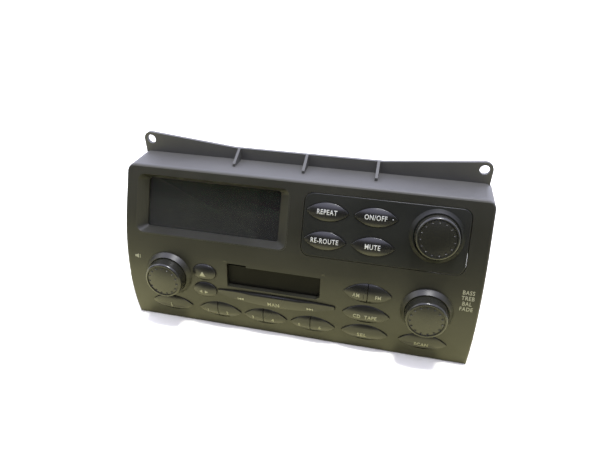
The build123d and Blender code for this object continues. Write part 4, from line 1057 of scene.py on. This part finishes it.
# ---------------------------------------------------------------- fascia
@dataclass
class Fascia:
    """Front moulding, navigation panel and what is printed on them."""

    shop: Workshop
    printing: Printing
    list_x: float = 115.0 * MM
    list_top: float = 61.8 * MM
    list_pitch: float = 3.9 * MM
    list_height: float = 2.8 * MM
    mark_height: float = 55.0 * MM
    mark_size: float = 2.4 * MM

    def build(self) -> None:
        """Dress the mouldings and print the legends beside the lower knobs."""
        paint = self.shop.paint
        paint.dress_node("front_fascia", Finish.FASCIA)
        paint.dress_node("navigation_panel", Finish.PANEL)
        paint.dress_node("fascia_rear_cover", Finish.BEZEL)
        paint.dress_node("slot_door", Finish.DARK)
        host = frame["nodes"]["front_fascia"]
        prints = []
        for index, text in enumerate(("BASS", "TREB", "BAL", "FADE")):
            spot = surface_spot("front_fascia", self.list_x, self.list_top - index * self.list_pitch)
            prints.append(self.printing.lay(self.printing.words(text, self.list_height, 0.82), spot, host))
        volume = surface_spot("front_fascia", -self.list_x, self.mark_height)
        prints.append(self.printing.lay(self.printing.sign(Mark.LOUDNESS, self.mark_size), volume, host))
        piece = joined(prints, "fascia_legends")
        # Printed in the shaded copy of the ink: painted shade for the lower face.
        self.shop.hand_over(piece, "fascia_legends", "case", "fascia", Finish.FAINT_INK)


@dataclass
class Display:
    """Bevelled frame, smoked window and the liquid crystal panel behind it."""

    shop: Workshop

    def build(self) -> None:
        """Dress the display's pieces."""
        paint = self.shop.paint
        paint.dress_node("display_bezel", Finish.BEZEL)
        paint.dress_node("display_window", Finish.WINDOW)
        paint.dress_node("display_panel", Finish.CRYSTAL)


# ---------------------------------------------------------------- chassis and deck
@dataclass
class Chassis:
    """Metal body behind the fascia, with what plugs into its back."""

    shop: Workshop
    printing: Printing
    label_size: tuple[float, float] = (52.0 * MM, 24.0 * MM)
    label_at: tuple[float, float] = (-40.0 * MM, 116.0 * MM)
    label_thickness: float = 0.12 * MM
    row_pitch: float = 5.04 * MM
    letter_height: float = 2.604 * MM
    print_thickness: float = 0.04 * MM
    print_lift: float = 0.05 * MM
    pin_pitch: tuple[float, float] = (9.0 * MM, 12.6 * MM)
    pin_gap: float = 4.6 * MM
    pin_size: tuple[float, float] = (2.4 * MM, 1.1 * MM)
    pin_length: float = 12.0 * MM
    pin_root: float = 16.0 * MM
    pin_rounding: float = 0.3 * MM

    def label(self) -> None:
        """Paper label on the cover, with its rows of print."""
        top = surface_above("chassis_cover", *self.label_at)
        half = [size / 2 for size in self.label_size]
        low = (top.x - half[0], top.y - half[1], top.z - 0.02 * MM)
        high = (top.x + half[0], top.y + half[1], top.z + self.label_thickness)
        paper = block("chassis_label", low, high, self.label_thickness * 0.4)
        prints = []
        for row, text in enumerate(("RADIO  TAPE", "12 V", "4 x 20 W", "FUSE 10 A")):
            flat = self.printing.words(text, self.letter_height, 0.85)
            place = Vector((top.x, high[1] - self.row_pitch * (row + 1.2), high[2] + self.print_lift))
            settle(flat, Matrix.Translation(place) @ Matrix.Rotation(math.pi, 4, "Z"))
            apply_modifier(flat, "SOLIDIFY", thickness=self.print_thickness, offset=0.0)
            prints.append(flat)
        print_piece = joined(prints, "label_print")
        self.shop.hand_over(print_piece, "chassis_label_print", "case", "chassis", Finish.LABEL_INK)
        self.shop.hand_over(paper, "chassis_label", "case", "chassis", Finish.LABEL)

    def pins(self) -> None:
        """Brass blades in the two rows of the power connector."""
        low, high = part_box("power_connector")
        middle_x, middle_z = (low[0] + high[0]) / 2, (low[2] + high[2]) / 2
        wide, thick = self.pin_size[0] / 2, self.pin_size[1] / 2
        root = high[1] - self.pin_root
        blades = []
        for column in range(4):
            x = middle_x + (column - 1.5) * self.pin_pitch[0]
            for row in (-0.5, 0.5):
                for side in (-0.5, 0.5):
                    z = middle_z + row * self.pin_pitch[1] + side * self.pin_gap
                    near, far = (x - wide, root, z - thick), (x + wide, root + self.pin_length, z + thick)
                    blades.append(block("blade", near, far, self.pin_rounding))
        self.shop.hand_over(joined(blades, "blades"), "connector_blades", "case", "connector", Finish.BRASS)

    def build(self) -> None:
        """Dress the chassis and add its label and contacts."""
        self.label()
        self.pins()
        finishes = {
            "chassis_tray": Finish.ZINC, "chassis_cover": Finish.ZINC, "heatsink": Finish.HEATSINK,
            "main_board": Finish.BOARD, "upper_board": Finish.BOARD, "control_board": Finish.BOARD,
            "power_connector": Finish.CONNECTOR, "antenna_socket": Finish.NICKEL,
            "tuner_module": Finish.ZINC, "fuse": Finish.FUSE, "amplifier_chip": Finish.CONNECTOR,
            "case_screws": Finish.STEEL, "rotary_encoders": Finish.STEEL, "volume_shaft": Finish.STEEL,
            "navigation_shaft": Finish.STEEL, "tone_shaft": Finish.STEEL,
            "navigation_key_mat": Finish.SILICONE, "control_key_mat": Finish.SILICONE,
        }
        for node, finish in finishes.items():
            self.shop.paint.dress_node(node, finish)


@dataclass
class Deck:
    """Cassette mechanism inside the chassis."""

    shop: Workshop

    def build(self) -> None:
        """Dress the mechanism."""
        finishes = {
            "deck_frame": Finish.DECK, "cassette_cradle": Finish.DECK, "head_plate": Finish.DECK,
            "tape_head": Finish.NICKEL, "deck_motor": Finish.ZINC, "motor_pulley": Finish.BRASS,
            "drive_belt": Finish.RUBBER,
        }
        for side in ("front", "rear"):
            finishes[f"reel_hub_{side}"] = Finish.HUB
            finishes[f"capstan_{side}"] = Finish.BRASS
            finishes[f"pinch_roller_{side}"] = Finish.RUBBER
        for node, finish in finishes.items():
            self.shop.paint.dress_node(node, finish)


# ---------------------------------------------------------------- studio
@dataclass
class Studio:
    """Pale floor, soft lights and the camera."""

    camera_at: tuple[float, float, float] = (0.0670, -0.3142, 0.2586)
    azimuth: float = 12.98
    elevation: float = 30.54
    roll: float = 0.3
    focal: float = 30.0
    floor_size: float = 6.0
    table: tuple[float, float, float] = (0.94, 0.93, 0.80)
    bounce: tuple[float, float, float] = (0.96, 0.91, 0.44)
    far_bounce: tuple[float, float, float] = (0.12, 0.115, 0.085)
    bounce_from: tuple[float, float] = (-0.27, -0.13)
    bounce_side: tuple[float, float] = (0.22, 0.45)
    plain_from: tuple[float, float] = (-0.05, 0.02)
    front_light: tuple[float, float, float] = (0.045, 0.045, 0.052)
    side_light: tuple[float, float, float] = (0.45, 0.45, 0.47)
    back_light: tuple[float, float, float] = (3.0, 3.1, 3.8)
    ceiling_light: tuple[float, float, float] = (2.0, 2.0, 2.75)
    side_from: tuple[float, float] = (0.35, 0.80)
    behind_from: tuple[float, float] = (-0.05, 0.35)
    overhead_from: tuple[float, float] = (0.56, 0.76)
    high_at: tuple[float, float, float] = (0.16, -0.16, 1.25)
    high_size: float = 0.12
    high_power: float = 14.0
    left_at: tuple[float, float, float] = (-0.9, -0.35, 0.75)
    left_size: float = 0.5
    left_power: float = 3.5

    def build(self) -> None:
        """Set up everything that isn't the radio."""
        self.floor()
        self.surround()
        self.lamps()
        self.camera()

    def floor(self) -> None:
        """Plain pale table as the camera sees it. The light it throws onto the radio is painted: warm near
        the radio's front and sides, dark further out in front as painted shade, and the plain table colour
        behind.
        """
        fresh()
        bpy.ops.mesh.primitive_plane_add(size=self.floor_size, location=(0, 0, CAD_BOX[0][2]))
        floor = bpy.context.object
        floor.name = "studio_floor"
        material, shader, surface = begin("studio_floor")
        seen = shader.add("LightPath").outputs["Is Camera Ray"]
        place = shader.add("SeparateXYZ", Vector=shader.add("TexCoord").outputs["Object"])
        beside = shader.ramp(shader.math("ABSOLUTE", place.outputs["X"]), *self.bounce_side)
        # Painted light: away from the camera's eye the floor is warm near the radio and dark further out in
        # front, standing in for the warm bounce and the darker room.
        near = shader.math("MAXIMUM", shader.ramp(place.outputs["Y"], *self.bounce_from), beside)
        painted_bounce = shader.blend(near, colour(self.far_bounce), colour(self.bounce))
        thrown = shader.blend(shader.ramp(place.outputs["Y"], *self.plain_from), painted_bounce, colour(self.table))
        tone = shader.blend(seen, thrown, colour(self.table))
        shader.feed(surface.inputs["Base Color"], tone)
        surface.inputs["Roughness"].default_value = 0.9
        floor.data.materials.append(material)

    def surround(self) -> None:
        """Room that is dark low in front, pale behind and brightest overhead."""
        world = bpy.data.worlds.new("studio")
        world.use_nodes = True
        bpy.context.scene.world = world
        shader = Shader(world.node_tree)
        way = shader.add("SeparateXYZ", Vector=shader.add("TexCoord").outputs["Generated"])
        behind = shader.ramp(way.outputs["Y"], *self.behind_from)
        overhead = shader.ramp(way.outputs["Z"], *self.overhead_from)
        beside = shader.ramp(shader.math("ABSOLUTE", way.outputs["X"]), *self.side_from)
        front = shader.blend(beside, colour(self.front_light), colour(self.side_light))
        low = shader.blend(behind, front, colour(self.back_light))
        light = shader.blend(overhead, low, colour(self.ceiling_light))
        shader.feed(world.node_tree.nodes["Background"].inputs["Color"], light)

    def lamps(self) -> None:
        """Small lamp high above the front and a soft one to the left."""
        for name, place, size, power in (("high", self.high_at, self.high_size, self.high_power),
                                         ("left", self.left_at, self.left_size, self.left_power)):
            light = bpy.data.lights.new(f"{name}_light", "AREA")
            light.size = size
            light.energy = power
            lamp = bpy.data.objects.new(f"{name}_light", light)
            lamp.location = place
            lamp.rotation_euler = (-Vector(place)).to_track_quat("-Z", "Y").to_euler()
            bpy.context.scene.collection.objects.link(lamp)

    def camera(self) -> None:
        """Camera at the viewing angle."""
        data = bpy.data.cameras.new("camera")
        data.lens = self.focal
        data.sensor_width = 36.0
        data.clip_start = 0.01
        camera = bpy.data.objects.new("camera", data)
        bpy.context.scene.collection.objects.link(camera)
        turn = (Matrix.Rotation(math.radians(self.azimuth), 4, "Z")
                @ Matrix.Rotation(math.radians(90 - self.elevation), 4, "X")
                @ Matrix.Rotation(math.radians(self.roll), 4, "Z"))
        camera.matrix_world = Matrix.Translation(self.camera_at) @ turn
        bpy.context.scene.camera = camera
        bpy.context.scene.view_settings.view_transform = "Standard"


def main() -> None:
    """Build the radio's looks sub-assembly by sub-assembly."""
    logging.basicConfig(level=logging.INFO, format="%(name)s %(message)s")
    shop = Workshop()
    printing = Printing()
    Studio().build()
    Fascia(shop, printing).build()
    Display(shop).build()
    KeySet(shop, printing).build()
    SeekBar(shop, printing).build()
    for name in ("volume", "navigation", "tone"):
        Knob(shop, name).build()
    Chassis(shop, printing).build()
    Deck(shop).build()


if __name__ == "__main__":
    main()
